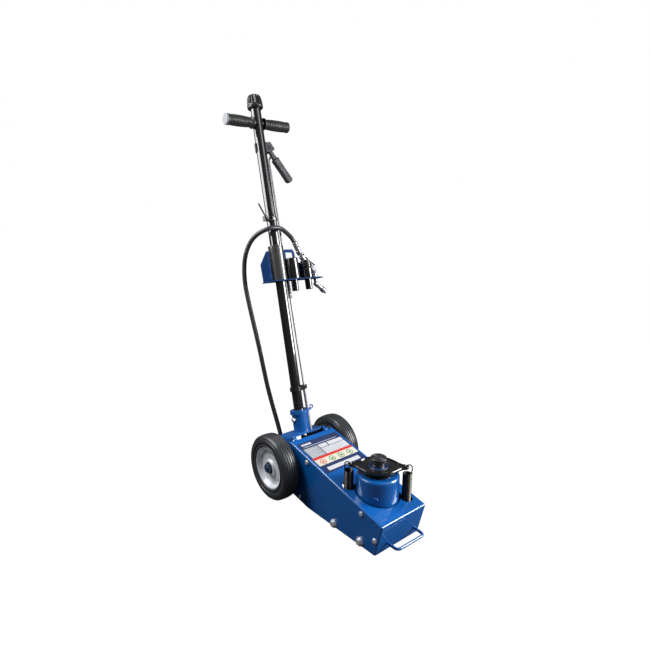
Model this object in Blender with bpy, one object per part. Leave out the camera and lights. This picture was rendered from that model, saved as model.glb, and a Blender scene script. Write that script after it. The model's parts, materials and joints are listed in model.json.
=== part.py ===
"""Air-over-hydraulic truck jack: a bottle jack in a wheeled steel housing, with a tilting T-handle."""

import math

import bmesh
import bpy
from mathutils import Matrix, Vector

# Driving dimensions, in metres. +X points to the nose, +Y to the jack's left and +Z up.
# The origin is on the floor, under the middle of the lifting ram.
GAP = 0.0003
SIDES = (("left", 1), ("right", -1))

# Housing
HALF_WIDTH = 0.0836
SIDE_PLATE = 0.004
SHEET = 0.003
FLOOR_CLEARANCE = 0.0035
NOSE_BOTTOM_X = 0.0769
NOSE_RAKE = 0.2475
TOP_HEIGHT = 0.1164
TOP_SLOPE = 0.2254
TOP_REAR_X = -0.281
CUTOUT_RADIUS = 0.062
SPRING_OFFSET = 0.055
SPRING_RADIUS = 0.013
TOW_HANDLE = [
    (0.0745, -0.045, 0.0283),
    (0.1180, -0.045, 0.0262),
    (0.1180, 0.058, 0.0242),
    (0.0745, 0.058, 0.0283),
]

# Bottle jack
CASTING_HEIGHT = 0.030
TANK_RADIUS = 0.058
TANK_TOP = 0.1735
RAM_RADIUS = 0.018
RAM_TOP = 0.2065
SADDLE_TOP = 0.218
PLATE_LOW, PLATE_HIGH = 0.188, 0.196
EAR_REACH = 0.0740
SADDLE_PEG_FOOT = 0.184
VALVE_SHAFT_LENGTH = 0.236

# Wheels and axle
AXLE_X, AXLE_Z = -0.316, 0.100
WHEEL_RADIUS = 0.100
WHEEL_CENTRE_Y = 0.121
BEARING_HALF = 0.0175
AXLE_RADIUS = 0.010

# Through rods and bolts in the side plates: X, Z and radius
TIE_RODS = {
    "nose_tie_rod": (0.0748, 0.0448, 0.005),
    "rear_top_tie_rod": (-0.201, 0.1465, 0.005),
    "rear_low_tie_rod": (-0.2365, 0.0222, 0.004),
}
BASE_BOLTS = {"base_bolt_rear": (-0.0800, 0.0142, 0.006), "base_bolt_front": (0.0230, 0.0155, 0.006)}
BUTTON_BOLT = (0.0246, 0.0965, 0.004)
THROUGH_SHANKS = [*TIE_RODS.values(), *BASE_BOLTS.values(), BUTTON_BOLT, (AXLE_X, AXLE_Z, AXLE_RADIUS)]
SIDE_PLATE_HOLES = [(x, z, radius + GAP) for x, z, radius in THROUGH_SHANKS]

# Handle. Its own frame is at the axle: U to the front, Y to the left, S up along the tube.
LEAN = math.radians(13.55)
YOKE_TOP = 0.079
YOKE_HALF_WIDTH = 0.066
YOKE_SHEET = 0.006
SOCKET_RADIUS = 0.025
SOCKET_TOP = 0.145
TUBE_RADIUS = 0.0158
TUBE_BORE = 0.0125
TUBE_TOP = 1.102
KNOB_FOOT, KNOB_TOP = 1.092, 1.1345
T_BAR_S = 1.048
T_BAR_RADIUS = 0.011
T_BAR_REACH = 0.109
SHELF_S = 0.556
LEFT_WING_SWEEP = 55
LOCK_ROD_TOP = Vector((-0.005, 0.0265, 0.93))
LOCK_ROD_FOOT = Vector((-0.005, 0.0381, 0.066))
LEVER_PIVOT = Vector((0, 0.026, 0.972))
LEVER_END = Vector((0, 0.0915, 0.872))
TALL_ADAPTER = (0.0222, 0.0410)
SHORT_ADAPTER = (0.0215, 0.0950)
STEM_RADIUS = 0.011

# Air line, in the handle's frame
VALVE_TOP = Vector((-0.012, 0.104, 0.631))
VALVE_FOOT = Vector((-0.012, 0.160, 0.565))
HOSE_RADIUS = 0.007
MOTOR_Y, MOTOR_Z, MOTOR_RADIUS = -0.042, 0.052, 0.030
MOTOR_REAR_X, MOTOR_FRONT_X = -0.225, -0.1056
FERRULE_TOP = Vector((-0.0085, 0.082, 0.6765))
FERRULE_FOOT = Vector((-0.0115, 0.1015, 0.6345))

# The hose's route on the handle's side, from the ferrule down behind the handle: U, Y, S.
HOSE_ON_HANDLE = [
    (-0.0085, 0.0810, 0.6785),
    (-0.0040, 0.0665, 0.6945),
    (0.0130, 0.0340, 0.7090),
    (0.0215, 0.0150, 0.7150),
    (0.0245, -0.0050, 0.7180),
    (0.0200, -0.0320, 0.7150),
    (-0.0070, -0.0520, 0.7060),
    (-0.0410, -0.0620, 0.6870),
    (-0.0670, -0.0700, 0.6530),
    (-0.0807, -0.0740, 0.6140),
    (-0.0863, -0.0760, 0.5650),
    (-0.0850, -0.0750, 0.5190),
    (-0.0825, -0.0710, 0.4560),
    (-0.0794, -0.0670, 0.3960),
    (-0.0773, -0.0630, 0.3350),
    (-0.0769, -0.0590, 0.2757),
    (-0.0755, -0.0550, 0.2200),
    (-0.0705, -0.0500, 0.1606),
    (-0.0628, -0.0430, 0.0807),
]
# The rest of its route, in the jack's own frame, under the axle to the air motor's port.
HOSE_IN_HOUSING = [
    (-0.3850, -0.0400, 0.1200),
    (-0.3640, -0.0390, 0.0820),
    (-0.3270, -0.0400, 0.0590),
    (-0.2830, -0.0415, 0.0525),
    (-0.2450, -0.0420, 0.0520),
    (MOTOR_REAR_X - GAP, MOTOR_Y, MOTOR_Z),
]


def clear_scene():
    for obj in list(bpy.data.objects):
        bpy.data.objects.remove(obj)


def paint(name, colour, roughness, metallic=0.0):
    material = bpy.data.materials.new(name)
    material.use_nodes = True
    shader = material.node_tree.nodes["Principled BSDF"]
    shader.inputs["Base Color"].default_value = (*colour, 1)
    shader.inputs["Roughness"].default_value = roughness
    shader.inputs["Metallic"].default_value = metallic
    material.diffuse_color = (*colour, 1)
    return material


def circle(x, y, radius, count=20):
    angles = [2 * math.pi * step / count for step in range(count)]
    return [(x + radius * math.cos(angle), y + radius * math.sin(angle)) for angle in angles]


def arc(x, y, radius, start, end, count=8):
    """Points on an arc, with its angles in degrees."""
    angles = [math.radians(start + (end - start) * step / count) for step in range(count + 1)]
    return [(x + radius * math.cos(angle), y + radius * math.sin(angle)) for angle in angles]


def add_object(name, shape, material, parent=None, location=(0, 0, 0), direction=None):
    """Turns a bmesh into an object. Its local Z points along direction, when one is given."""
    bmesh.ops.recalc_face_normals(shape, faces=shape.faces)
    mesh = bpy.data.meshes.new(name)
    shape.to_mesh(mesh)
    shape.free()
    mesh.materials.append(material)
    mesh.shade_smooth()
    mesh.set_sharp_from_angle(angle=math.radians(35))
    obj = bpy.data.objects.new(name, mesh)
    bpy.context.collection.objects.link(obj)
    obj.parent = parent
    obj.location = location
    if direction is not None:
        obj.rotation_mode = "QUATERNION"
        obj.rotation_quaternion = Vector(direction).to_track_quat("Z", "Y")
    return obj


def add_frame(name, location, rotation=(0, 0, 0), parent=None):
    empty = bpy.data.objects.new(name, None)
    bpy.context.collection.objects.link(empty)
    empty.parent = parent
    empty.location = location
    empty.rotation_euler = rotation
    return empty


def turned(profile, segments=32):
    """A solid turned about Z from a (radius, height) profile that is closed or has both ends on the axis."""
    shape = bmesh.new()
    rings = []
    for radius, height in profile:
        count = segments if radius > 0 else 1
        angles = [2 * math.pi * step / segments for step in range(count)]
        points = [(radius * math.cos(angle), radius * math.sin(angle), height) for angle in angles]
        rings.append([shape.verts.new(point) for point in points])
    for low, high in zip(rings, rings[1:] + rings[:1]):
        for step in range(segments):
            turn = (step + 1) % segments
            corners = [low[step % len(low)], low[turn % len(low)]]
            corners += [high[turn % len(high)], high[step % len(high)]]
            corners = list(dict.fromkeys(corners))
            if len(corners) > 2:
                shape.faces.new(corners)
    return shape


def rod_shape(radius, low, high, segments=16):
    return turned([(0, low), (radius, low), (radius, high), (0, high)], segments)


def ring_shape(bore, radius, low, high, segments=32):
    return turned([(bore, low), (radius, low), (radius, high), (bore, high)], segments)


def slab(outline, low, high, axis="Z", holes=()):
    """A flat solid from low to high along axis. The outline holds the other two coordinates, in order."""
    spread = {
        "X": lambda a, b: (low, a, b),
        "Y": lambda a, b: (a, low, b),
        "Z": lambda a, b: (a, b, low),
    }[axis]
    shape = bmesh.new()
    edges = []
    for loop in [outline, *holes]:
        points = [shape.verts.new(spread(*point)) for point in loop]
        edges += [shape.edges.new(pair) for pair in zip(points, points[1:] + points[:1])]
    bmesh.ops.triangle_fill(shape, use_beauty=True, edges=edges)
    grown = bmesh.ops.extrude_face_region(shape, geom=list(shape.faces))
    shift = {"X": (high - low, 0, 0), "Y": (0, high - low, 0), "Z": (0, 0, high - low)}[axis]
    moved = [item for item in grown["geom"] if isinstance(item, bmesh.types.BMVert)]
    bmesh.ops.translate(shape, verts=moved, vec=shift)
    return shape


def bent_bar(points, radius, segments=8):
    """A round bar as a mesh. The points lie in a plane across X."""
    shape = bmesh.new()
    rings = []
    for index, point in enumerate(points):
        before, after = points[max(index - 1, 0)], points[min(index + 1, len(points) - 1)]
        side = Vector((1, 0, 0)).cross(after - before).normalized()
        forward = side.cross(after - before).normalized()
        angles = [2 * math.pi * step / segments for step in range(segments)]
        rings.append(
            [shape.verts.new(point + radius * (forward * math.cos(a) + side * math.sin(a))) for a in angles]
        )
    for low, high in zip(rings, rings[1:]):
        for step in range(segments):
            turn = (step + 1) % segments
            shape.faces.new([low[step], low[turn], high[turn], high[step]])
    shape.faces.new(rings[0])
    shape.faces.new(rings[-1])
    return shape


def box_shape(low, high):
    (x0, y0, z0), (x1, y1, z1) = low, high
    return slab([(x0, y0), (x1, y0), (x1, y1), (x0, y1)], z0, z1)


def boolean(target, operation, helper):
    helper.hide_render = True
    helper.display_type = "WIRE"
    modifier = target.modifiers.new(helper.name, "BOOLEAN")
    modifier.operation = operation
    modifier.object = helper


def helper_object(target, name, shape, location=(0, 0, 0), direction=None):
    material = target.data.materials[0]
    return add_object(f"{target.name}_{name}", shape, material, target.parent, location, direction)


def join(target, name, shape, location=(0, 0, 0), direction=None):
    boolean(target, "UNION", helper_object(target, name, shape, location, direction))


def cut(target, name, shape, location=(0, 0, 0), direction=None):
    boolean(target, "DIFFERENCE", helper_object(target, name, shape, location, direction))


def keep_inside(target, name, shape):
    boolean(target, "INTERSECT", helper_object(target, name, shape))


def drill(target, name, radius, start, end, segments=16):
    """Cuts a round hole from start to end."""
    start, end = Vector(start), Vector(end)
    cut(target, name, rod_shape(radius, 0, (end - start).length, segments), start, end - start)


def wire(name, points, radius, material, parent=None, radii=None, resolution=2):
    """A bent round bar along the points."""
    curve = bpy.data.curves.new(name, "CURVE")
    curve.dimensions = "3D"
    curve.bevel_depth = radius
    curve.bevel_resolution = resolution
    curve.use_fill_caps = True
    spline = curve.splines.new("POLY")
    spline.points.add(len(points) - 1)
    for index, (knot, point) in enumerate(zip(spline.points, points)):
        knot.co = (*point, 1)
        knot.radius = radii[index] if radii else 1
    curve.materials.append(material)
    obj = bpy.data.objects.new(name, curve)
    bpy.context.collection.objects.link(obj)
    obj.parent = parent
    return obj


def smooth_route(points, spacing):
    """Evenly spaced points on the Catmull-Rom curve through the given points."""
    points = [Vector(point) for point in points]
    padded = [2 * points[0] - points[1], *points, 2 * points[-1] - points[-2]]
    fine = []
    for before, here, there, after in zip(padded, padded[1:], padded[2:], padded[3:]):
        for step in range(16):
            t = step / 16
            fine.append(
                0.5
                * (
                    2 * here
                    + (there - before) * t
                    + (2 * before - 5 * here + 4 * there - after) * t**2
                    + (3 * here - before - 3 * there + after) * t**3
                )
            )
    fine.append(points[-1])
    lengths = [0.0]
    for here, there in zip(fine, fine[1:]):
        lengths.append(lengths[-1] + (there - here).length)
    count = round(lengths[-1] / spacing)
    even = []
    index = 0
    for step in range(count + 1):
        wanted = lengths[-1] * step / count
        while index < len(fine) - 2 and lengths[index + 1] < wanted:
            index += 1
        share = (wanted - lengths[index]) / (lengths[index + 1] - lengths[index])
        even.append(fine[index].lerp(fine[index + 1], share))
    return even


def bent_points(corners, radius, count=5):
    """Points along straight runs whose corners are rounded to the radius."""
    corners = [Vector(corner) for corner in corners]
    points = [corners[0]]
    for before, corner, after in zip(corners, corners[1:], corners[2:]):
        entry = corner + (before - corner).normalized() * radius
        leave = corner + (after - corner).normalized() * radius
        for step in range(count + 1):
            t = step / count
            points.append(entry.lerp(corner, t).lerp(corner.lerp(leave, t), t))
    points.append(corners[-1])
    return points


def top_z(x, inset=0.0):
    return TOP_HEIGHT - TOP_SLOPE * x - inset * math.hypot(1, TOP_SLOPE)


def nose_x(z, inset=0.0):
    return NOSE_BOTTOM_X + NOSE_RAKE * (z - FLOOR_CLEARANCE) - inset * math.hypot(1, NOSE_RAKE)


def nose_corner(inset=0.0):
    """Where the top and the sloping front meet, as (x, z), at a depth below both surfaces."""
    x = (nose_x(0, inset) + NOSE_RAKE * top_z(0, inset)) / (1 + NOSE_RAKE * TOP_SLOPE)
    return x, top_z(x, inset)


def make_side_plate(name, side, material):
    inset = SHEET + GAP
    corner = nose_corner(inset)
    rear_x = TOP_REAR_X - 0.009
    outline = [
        (nose_x(FLOOR_CLEARANCE, inset), FLOOR_CLEARANCE),
        corner,
        (rear_x, top_z(rear_x, inset)),
        (rear_x - 0.012, top_z(rear_x, inset) - 0.006),
        *arc(AXLE_X, AXLE_Z, 0.038, 140, 250),
        (-0.269, 0.0155),
        (-0.196, FLOOR_CLEARANCE),
    ]
    holes = [circle(x, z, radius, 16) for x, z, radius in SIDE_PLATE_HOLES]
    inner, outer = HALF_WIDTH - SIDE_PLATE, HALF_WIDTH
    low, high = (inner, outer) if side > 0 else (-outer, -inner)
    return add_object(name, slab(outline, low, high, "Y", holes), material)


def make_top_cover(material):
    """The folded top and nose, with a tab over each side and a clearance for the tank and its springs."""
    inner_corner = nose_corner(SHEET)
    outline = [
        (TOP_REAR_X, top_z(TOP_REAR_X)),
        nose_corner(),
        (NOSE_BOTTOM_X, FLOOR_CLEARANCE),
        (nose_x(FLOOR_CLEARANCE, SHEET), FLOOR_CLEARANCE),
        inner_corner,
        (TOP_REAR_X, top_z(TOP_REAR_X, SHEET)),
    ]
    cover = add_object("top_cover", slab(outline, -HALF_WIDTH, HALF_WIDTH, "Y"), material)
    tab_x, tab_drop = 0.066, 0.017
    for side in (-1, 1):
        inner, outer = HALF_WIDTH + GAP, HALF_WIDTH + GAP + 0.0025
        tab = [
            (tab_x, top_z(tab_x)),
            nose_corner(),
            (nose_x(0.058), 0.058),
            (tab_x, top_z(tab_x) - tab_drop),
        ]
        low, high = sorted((side * inner, side * outer))
        join(cover, f"tab_{side}", slab(tab, low, high, "Y"))
        bridge = [
            (tab_x, top_z(tab_x)),
            nose_corner(),
            nose_corner(SHEET * 0.9),
            (tab_x, top_z(tab_x, SHEET * 0.9)),
        ]
        low, high = sorted((side * (HALF_WIDTH - 0.004), side * (outer - 0.0005)))
        join(cover, f"bridge_{side}", slab(bridge, low, high, "Y"))
        spot = side * SPRING_OFFSET
        cut(cover, f"spring_hole_{side}", rod_shape(0.017, 0.08, 0.15, 20), (spot, spot, 0))
    cut(cover, "tank_hole", rod_shape(CUTOUT_RADIUS, 0.08, 0.15, 40))
    drill(cover, "tow_hole_right", 0.0047, TOW_HANDLE[0], TOW_HANDLE[1], 12)
    drill(cover, "tow_hole_left", 0.0047, TOW_HANDLE[3], TOW_HANDLE[2], 12)
    return cover


def make_tow_handle(material):
    return wire("tow_handle", bent_points(TOW_HANDLE, 0.013), 0.004, material)


def make_base_casting(material):
    """The jack's base, with a pump block at its rear and a lug for each return spring."""
    half = HALF_WIDTH - SIDE_PLATE - GAP
    base = add_object("base_casting", box_shape((-0.105, -half, 0), (0.062, half, CASTING_HEIGHT)), material)
    bevel = base.modifiers.new("edges", "BEVEL")
    bevel.width = 0.003
    bevel.segments = 2
    join(base, "pump_block", box_shape((-0.105, -0.074, 0.02), (-0.071, -0.010, 0.084)))
    for side in (-1, 1):
        spot = side * SPRING_OFFSET
        join(base, f"spring_lug_{side}", rod_shape(0.006, 0.02, 0.036, 12), (spot, spot, 0))
    drill(base, "plunger_bore", 0.0063, (-0.12, MOTOR_Y, MOTOR_Z), (-0.074, MOTOR_Y, MOTOR_Z))
    valve_line = shaft_direction()
    mouth = Vector((AXLE_X, 0, AXLE_Z)) - valve_line * VALVE_SHAFT_LENGTH
    drill(base, "valve_bore", 0.0063, mouth - valve_line * 0.002, mouth + valve_line * 0.06)
    for name, (x, z, radius) in BASE_BOLTS.items():
        drill(base, f"{name}_hole", radius + GAP, (x, -0.09, z), (x, 0.09, z))
    return base


def shaft_direction():
    """Along the release shaft, from the valve in the casting up to the axle's centre."""
    return (Vector((AXLE_X, 0, AXLE_Z)) - Vector((-0.105, 0, 0.0225))).normalized()


def make_reservoir_tank(material):
    """The oil tank round the pressure cylinder, with its filler plug."""
    wall, low = 0.004, CASTING_HEIGHT + GAP
    inner = TANK_RADIUS - wall
    profile = [
        (inner, low),
        (TANK_RADIUS, low),
        (TANK_RADIUS, TANK_TOP - 0.0085),
        (TANK_RADIUS - 0.0025, TANK_TOP - 0.0025),
        (TANK_RADIUS - 0.0085, TANK_TOP),
        (0.0365, TANK_TOP),
        (0.0365, TANK_TOP - wall),
        (inner, TANK_TOP - wall - 0.004),
    ]
    tank = add_object("reservoir_tank", turned(profile, 48), material)
    angle = math.radians(-50)
    outward = Vector((math.cos(angle), math.sin(angle), 0))
    spot = outward * 0.05 + Vector((0, 0, 0.1265))
    drill(tank, "plug_hole", 0.0043, spot, spot + outward * 0.02, 12)
    plug = [
        (0, 0.0045),
        (0.004, 0.0045),
        (0.004, TANK_RADIUS - 0.05 + GAP),
        (0.0065, TANK_RADIUS - 0.05 + GAP),
        (0.0055, 0.0115),
        (0, 0.0115),
    ]
    return add_object("oil_plug", turned(plug, 16), material, None, spot, outward)


def make_hydraulics(paints):
    """The pressure cylinder, its nut and the ram that slides in them."""
    low = CASTING_HEIGHT + GAP
    add_object("pressure_cylinder", ring_shape(0.0245, 0.032, low, 0.1715), paints["steel"])
    nut = [
        (RAM_RADIUS + GAP, 0.1718),
        (0.034, 0.1718),
        (0.034, TANK_TOP + GAP),
        (0.044, TANK_TOP + GAP),
        (0.0425, 0.1815),
        (RAM_RADIUS + GAP, 0.1815),
    ]
    add_object("tank_nut", turned(nut), paints["black"])
    ram = [
        (0, 0.0306),
        (0.0242, 0.0306),
        (0.0242, 0.044),
        (RAM_RADIUS, 0.044),
        (RAM_RADIUS, RAM_TOP),
        (0.0103, RAM_TOP),
        (0.0103, SADDLE_PEG_FOOT - 0.001),
        (0, SADDLE_PEG_FOOT - 0.001),
    ]
    add_object("ram", turned(ram), paints["steel"])
    saddle = [
        (0, SADDLE_PEG_FOOT),
        (0.010, SADDLE_PEG_FOOT),
        (0.010, RAM_TOP + GAP),
        (0.0205, RAM_TOP + GAP),
        (0.0223, RAM_TOP + 0.002),
        (0.0223, SADDLE_TOP - 0.002),
        (0.0205, SADDLE_TOP),
        (0, SADDLE_TOP),
    ]
    add_object("saddle", turned(saddle), paints["black"])


def plate_half_width(share):
    """Half the return plate's width at a share of its reach: full in the middle, narrow at its ears."""
    return 0.0095 + 0.0375 * math.cos(math.pi * min(abs(share), 1) / 2) ** 2


def make_return_plate(material):
    """The lens-shaped plate clamped on the ram, whose ears hold the return springs."""
    steps = 14
    shares = [2 * step / steps - 1 for step in range(steps + 1)]
    upper = [(EAR_REACH * share, plate_half_width(share)) for share in shares]
    outline = [
        *upper,
        (EAR_REACH + 0.008, 0.004),
        (EAR_REACH + 0.008, -0.004),
        *[(x, -y) for x, y in reversed(upper)],
        (-EAR_REACH - 0.008, -0.004),
        (-EAR_REACH - 0.008, 0.004),
    ]
    hole = circle(0, 0, RAM_RADIUS + GAP, 24)
    plate = add_object("return_plate", slab(outline, PLATE_LOW, PLATE_HIGH, holes=[hole]), material)
    plate.rotation_euler.z = math.radians(45)
    bowl = [(0.020, -0.0055), (0.032, -0.0055), (0.042, 0.004), (0.020, 0.004)]
    bowl = [(radius, PLATE_LOW + height) for radius, height in bowl]
    join(plate, "bowl", turned(bowl, 24))
    return plate


def make_return_springs(material):
    profile = [
        (0, 0.0365),
        (0.004, 0.0365),
        (0.004, 0.046),
        (SPRING_RADIUS, 0.046),
        (SPRING_RADIUS, 0.178),
        (0.004, 0.178),
        (0.004, PLATE_LOW - GAP),
        (0, PLATE_LOW - GAP),
    ]
    for name, side in (("return_spring_rear", -1), ("return_spring_front", 1)):
        spot = (side * SPRING_OFFSET, side * SPRING_OFFSET, 0)
        add_object(name, turned(profile, 16), material, None, spot)


def make_air_motor(paints):
    """The air motor behind the base, its sliding piston and its exhaust muffler."""
    length = MOTOR_FRONT_X - MOTOR_REAR_X
    rear = (MOTOR_REAR_X, MOTOR_Y, MOTOR_Z)
    barrel = [
        (0.0035, 0),
        (MOTOR_RADIUS, 0),
        (MOTOR_RADIUS, length),
        (MOTOR_RADIUS - 0.004, length),
        (MOTOR_RADIUS - 0.004, 0.005),
        (0.0035, 0.005),
    ]
    add_object("air_motor_cylinder", turned(barrel, 28), paints["aluminium"], None, rear, (1, 0, 0))
    piston = [
        (0, 0.008),
        (MOTOR_RADIUS - 0.0043, 0.008),
        (MOTOR_RADIUS - 0.0043, 0.020),
        (0.006, 0.020),
        (0.006, length + 0.008),
        (0, length + 0.008),
    ]
    add_object("air_piston", turned(piston, 28), paints["steel"], None, rear, (1, 0, 0))
    muffler = [(0, 0), (0.007, 0), (0.007, 0.006), (0.010, 0.008)]
    muffler += [(0.010, 0.024), (0.007, 0.027), (0, 0.027)]
    spot = (-0.190, MOTOR_Y, MOTOR_Z + MOTOR_RADIUS + GAP)
    add_object("muffler", turned(muffler, 16), paints["brass"], None, spot)


def make_valve_shaft(material):
    """The release valve's shaft, whose ball end sits at the middle of the axle line."""
    line = shaft_direction()
    ball, neck = 0.0085, 0.005
    profile = [(0, -VALVE_SHAFT_LENGTH), (0.006, -VALVE_SHAFT_LENGTH), (0.006, -0.20), (neck, -0.198)]
    start = math.degrees(math.asin(neck / ball))
    for angle in map(math.radians, (start, 60, 90, 120, 150)):
        profile.append((ball * math.sin(angle), -ball * math.cos(angle)))
    profile.append((0, ball))
    add_object("valve_shaft", turned(profile, 16), material, None, (AXLE_X, 0, AXLE_Z), line)


def make_wheel(side_name, side, paints):
    """A solid-rubber wheel on its bearing. Local Z points outwards from the wheel's middle plane."""
    frame = add_frame(
        f"wheel_{side_name}_axis",
        (AXLE_X, side * WHEEL_CENTRE_Y, AXLE_Z),
        (math.radians(-90 * side), 0, 0),
    )
    tread = [(0.062, 0.022), (0.066, 0.0245), (0.088, 0.025)]
    tread += [(0.0955, 0.022), (0.0992, 0.014), (WHEEL_RADIUS, 0.005)]
    tyre = [(radius, -height) for radius, height in tread] + list(reversed(tread))
    add_object(f"tyre_{side_name}", turned(tyre, 40), paints["rubber"], frame)
    hub_bore = BEARING_HALF
    rim = [
        (0.0173, -hub_bore),
        (0.0173, hub_bore),
        (0.0215, hub_bore),
        (0.0245, 0.010),
        (0.050, 0.008),
        (0.056, 0.019),
        (0.0590, 0.0218),
        (0.0617, 0.0218),
        (0.0617, -0.0218),
        (0.0580, -0.0218),
        (0.0545, 0.003),
        (0.0260, 0.005),
        (0.0215, -hub_bore),
    ]
    add_object(f"rim_{side_name}", turned(rim, 40), paints["zinc"], frame)
    bearing = ring_shape(AXLE_RADIUS + GAP, 0.0170, -BEARING_HALF, BEARING_HALF, 24)
    add_object(f"bearing_{side_name}", bearing, paints["steel"], frame)
    make_stub_axle(side_name, frame, paints)


def make_stub_axle(side_name, frame, paints):
    """The stub that carries a wheel, the side plate and the yoke's leg, and the nut on its end."""
    inboard = YOKE_HALF_WIDTH - YOKE_SHEET - GAP - WHEEL_CENTRE_Y
    plate_outer = HALF_WIDTH + GAP - WHEEL_CENTRE_Y
    stub = [
        (0, inboard - 0.008),
        (0.015, inboard - 0.008),
        (0.015, inboard),
        (AXLE_RADIUS, inboard),
        (AXLE_RADIUS, plate_outer),
        (0.015, plate_outer),
        (0.015, -BEARING_HALF - GAP),
        (AXLE_RADIUS, -BEARING_HALF - GAP),
        (AXLE_RADIUS, BEARING_HALF + GAP),
        (0.008, BEARING_HALF + GAP),
        (0.008, 0.0275),
        (0, 0.0275),
    ]
    add_object(f"stub_axle_{side_name}", turned(stub, 24), paints["blue"], frame)
    bore = circle(0, 0, 0.0083)
    nut = slab(circle(0, 0, 0.0145, 6), BEARING_HALF + 2 * GAP, 0.0255, holes=[bore])
    add_object(f"axle_nut_{side_name}", nut, paints["blue"], frame)


def both_ways(half, end):
    """A profile from -end to end on the axis, which repeats the half profile at both ends."""
    return [(0, -end), *[(radius, -height) for radius, height in reversed(half)], *half, (0, end)]


def make_fasteners(paints):
    """Tie rods and base bolts run right through the housing and have a head at each end."""
    outer = HALF_WIDTH + GAP
    for name, (x, z, radius) in TIE_RODS.items():
        head = radius + 0.003
        half = [(radius, outer), (head, outer)]
        half += [(head - 0.0005, outer + 0.0025), (head - 0.0025, outer + 0.004)]
        shape = turned(both_ways(half, outer + 0.004), 16)
        add_object(name, shape, paints["zinc"], None, (x, 0, z), (0, 1, 0))
    for name, (x, z, radius) in BASE_BOLTS.items():
        washer = [(0.0125, outer), (0.0125, outer + 0.0022), (0.0095, outer + 0.0025)]
        half = [(radius, outer), *washer, (0.0095, outer + 0.008), (0.0085, outer + 0.0092)]
        shape = turned(both_ways(half, outer + 0.0092), 18)
        add_object(name, shape, paints["zinc"], None, (x, 0, z), (0, 1, 0))
    x, z, radius = BUTTON_BOLT
    for side_name, side in SIDES:
        button = [
            (0, HALF_WIDTH - SIDE_PLATE - 0.003),
            (radius, HALF_WIDTH - SIDE_PLATE - 0.003),
            (radius, outer),
            (0.007, outer),
            (0.0065, outer + 0.0025),
            (0.0045, outer + 0.004),
            (0, outer + 0.004),
        ]
        spot = (x, 0, z)
        add_object(f"button_bolt_{side_name}", turned(button, 16), paints["zinc"], None, spot, (0, side, 0))


def make_lock_sector(material):
    """The notched quadrant that the handle's lock rod drops onto, held by the rear top tie rod."""
    outer, inner, depth = 0.0640, 0.048, 0.007
    rod_x, rod_z, rod_radius = TIE_RODS["rear_top_tie_rod"]
    notches = [90 + math.degrees(LEAN) + back for back in (70, 35, 0)]
    rim = []
    start = 190
    for notch in notches:
        rim += arc(AXLE_X, AXLE_Z, outer, start, notch + 6.5, 3)
        rim += arc(AXLE_X, AXLE_Z, outer - depth, notch + 6, notch - 6, 2)
        start = notch - 6.5
    rim += arc(AXLE_X, AXLE_Z, outer, start, 62, 3)
    eye = arc(rod_x, rod_z, 0.011, 130, -50, 6)
    outline = [*rim, *eye, *arc(AXLE_X, AXLE_Z, inner, 18, 190, 14)]
    holes = [circle(rod_x, rod_z, rod_radius + GAP, 12)]
    y = LOCK_ROD_FOOT.y
    return add_object("lock_sector", slab(outline, y - 0.003, y + 0.003, "Y", holes), material)


def make_yoke(handle, material):
    """The U-shaped fork that swings on the stub axles and carries the handle's socket."""
    half, wall, bend = YOKE_HALF_WIDTH, YOKE_SHEET, 0.012
    top = YOKE_TOP
    outline = [(half, -0.034), *arc(half - bend, top - bend, bend, 0, 90, 4)]
    outline += [*arc(bend - half, top - bend, bend, 90, 180, 4), (-half, -0.034), (wall - half, -0.034)]
    outline += [*arc(bend - half, top - bend, bend - wall, 180, 90, 4)]
    outline += [*arc(half - bend, top - bend, bend - wall, 90, 0, 4), (half - wall, -0.034)]
    yoke = add_object("handle_yoke", slab(outline, -0.029, 0.034, "X"), material, handle)
    side = [*arc(0, 0, 0.030, 170, 370, 14), (0.033, top + 0.01), (-0.028, top + 0.01)]
    keep_inside(yoke, "side_shape", slab(side, -0.08, 0.08, "Y"))
    drill(yoke, "axle_hole", AXLE_RADIUS + GAP, (0, -0.08, 0), (0, 0.08, 0), 20)
    drill(yoke, "shaft_hole", 0.0115, (0, 0, 0.05), (0, 0, 0.09))
    foot = LOCK_ROD_FOOT
    drill(yoke, "lock_hole", 0.0085, (foot.x, foot.y - 0.0001, 0.05), (foot.x, foot.y - 0.0001, 0.09))
    return yoke


def make_socket(handle, paints):
    low, bore = YOKE_TOP + GAP, TUBE_RADIUS + GAP
    profile = [
        (bore, low),
        (SOCKET_RADIUS, low),
        (SOCKET_RADIUS, SOCKET_TOP - 0.014),
        (0.0295, SOCKET_TOP - 0.012),
        (0.0295, SOCKET_TOP),
        (bore, SOCKET_TOP),
    ]
    socket = add_object("handle_socket", turned(profile, 28), paints["blue"], handle)
    rod_y = lock_rod_at(0.135).y
    guide = [(0.006, 0.022), *arc(LOCK_ROD_TOP.x, rod_y, 0.0115, 0, 180, 8), (-0.016, 0.022)]
    hole = circle(LOCK_ROD_TOP.x, rod_y, 0.0073, 14)
    join(socket, "rod_guide", slab(guide, SOCKET_TOP - 0.010, SOCKET_TOP - 0.004, holes=[hole]))
    drill(socket, "bolt_hole", 0.0043, (0, -0.04, 0.118), (0, -0.012, 0.118), 12)
    bolt = [(0, 0.0163), (0.004, 0.0163), (0.004, 0.0253), (0.0075, 0.0253)]
    bolt += [(0.0075, 0.0295), (0.0055, 0.031), (0, 0.031)]
    add_object("socket_bolt", turned(bolt, 16), paints["zinc"], handle, (0, 0, 0.118), (0, -1, 0))


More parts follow.
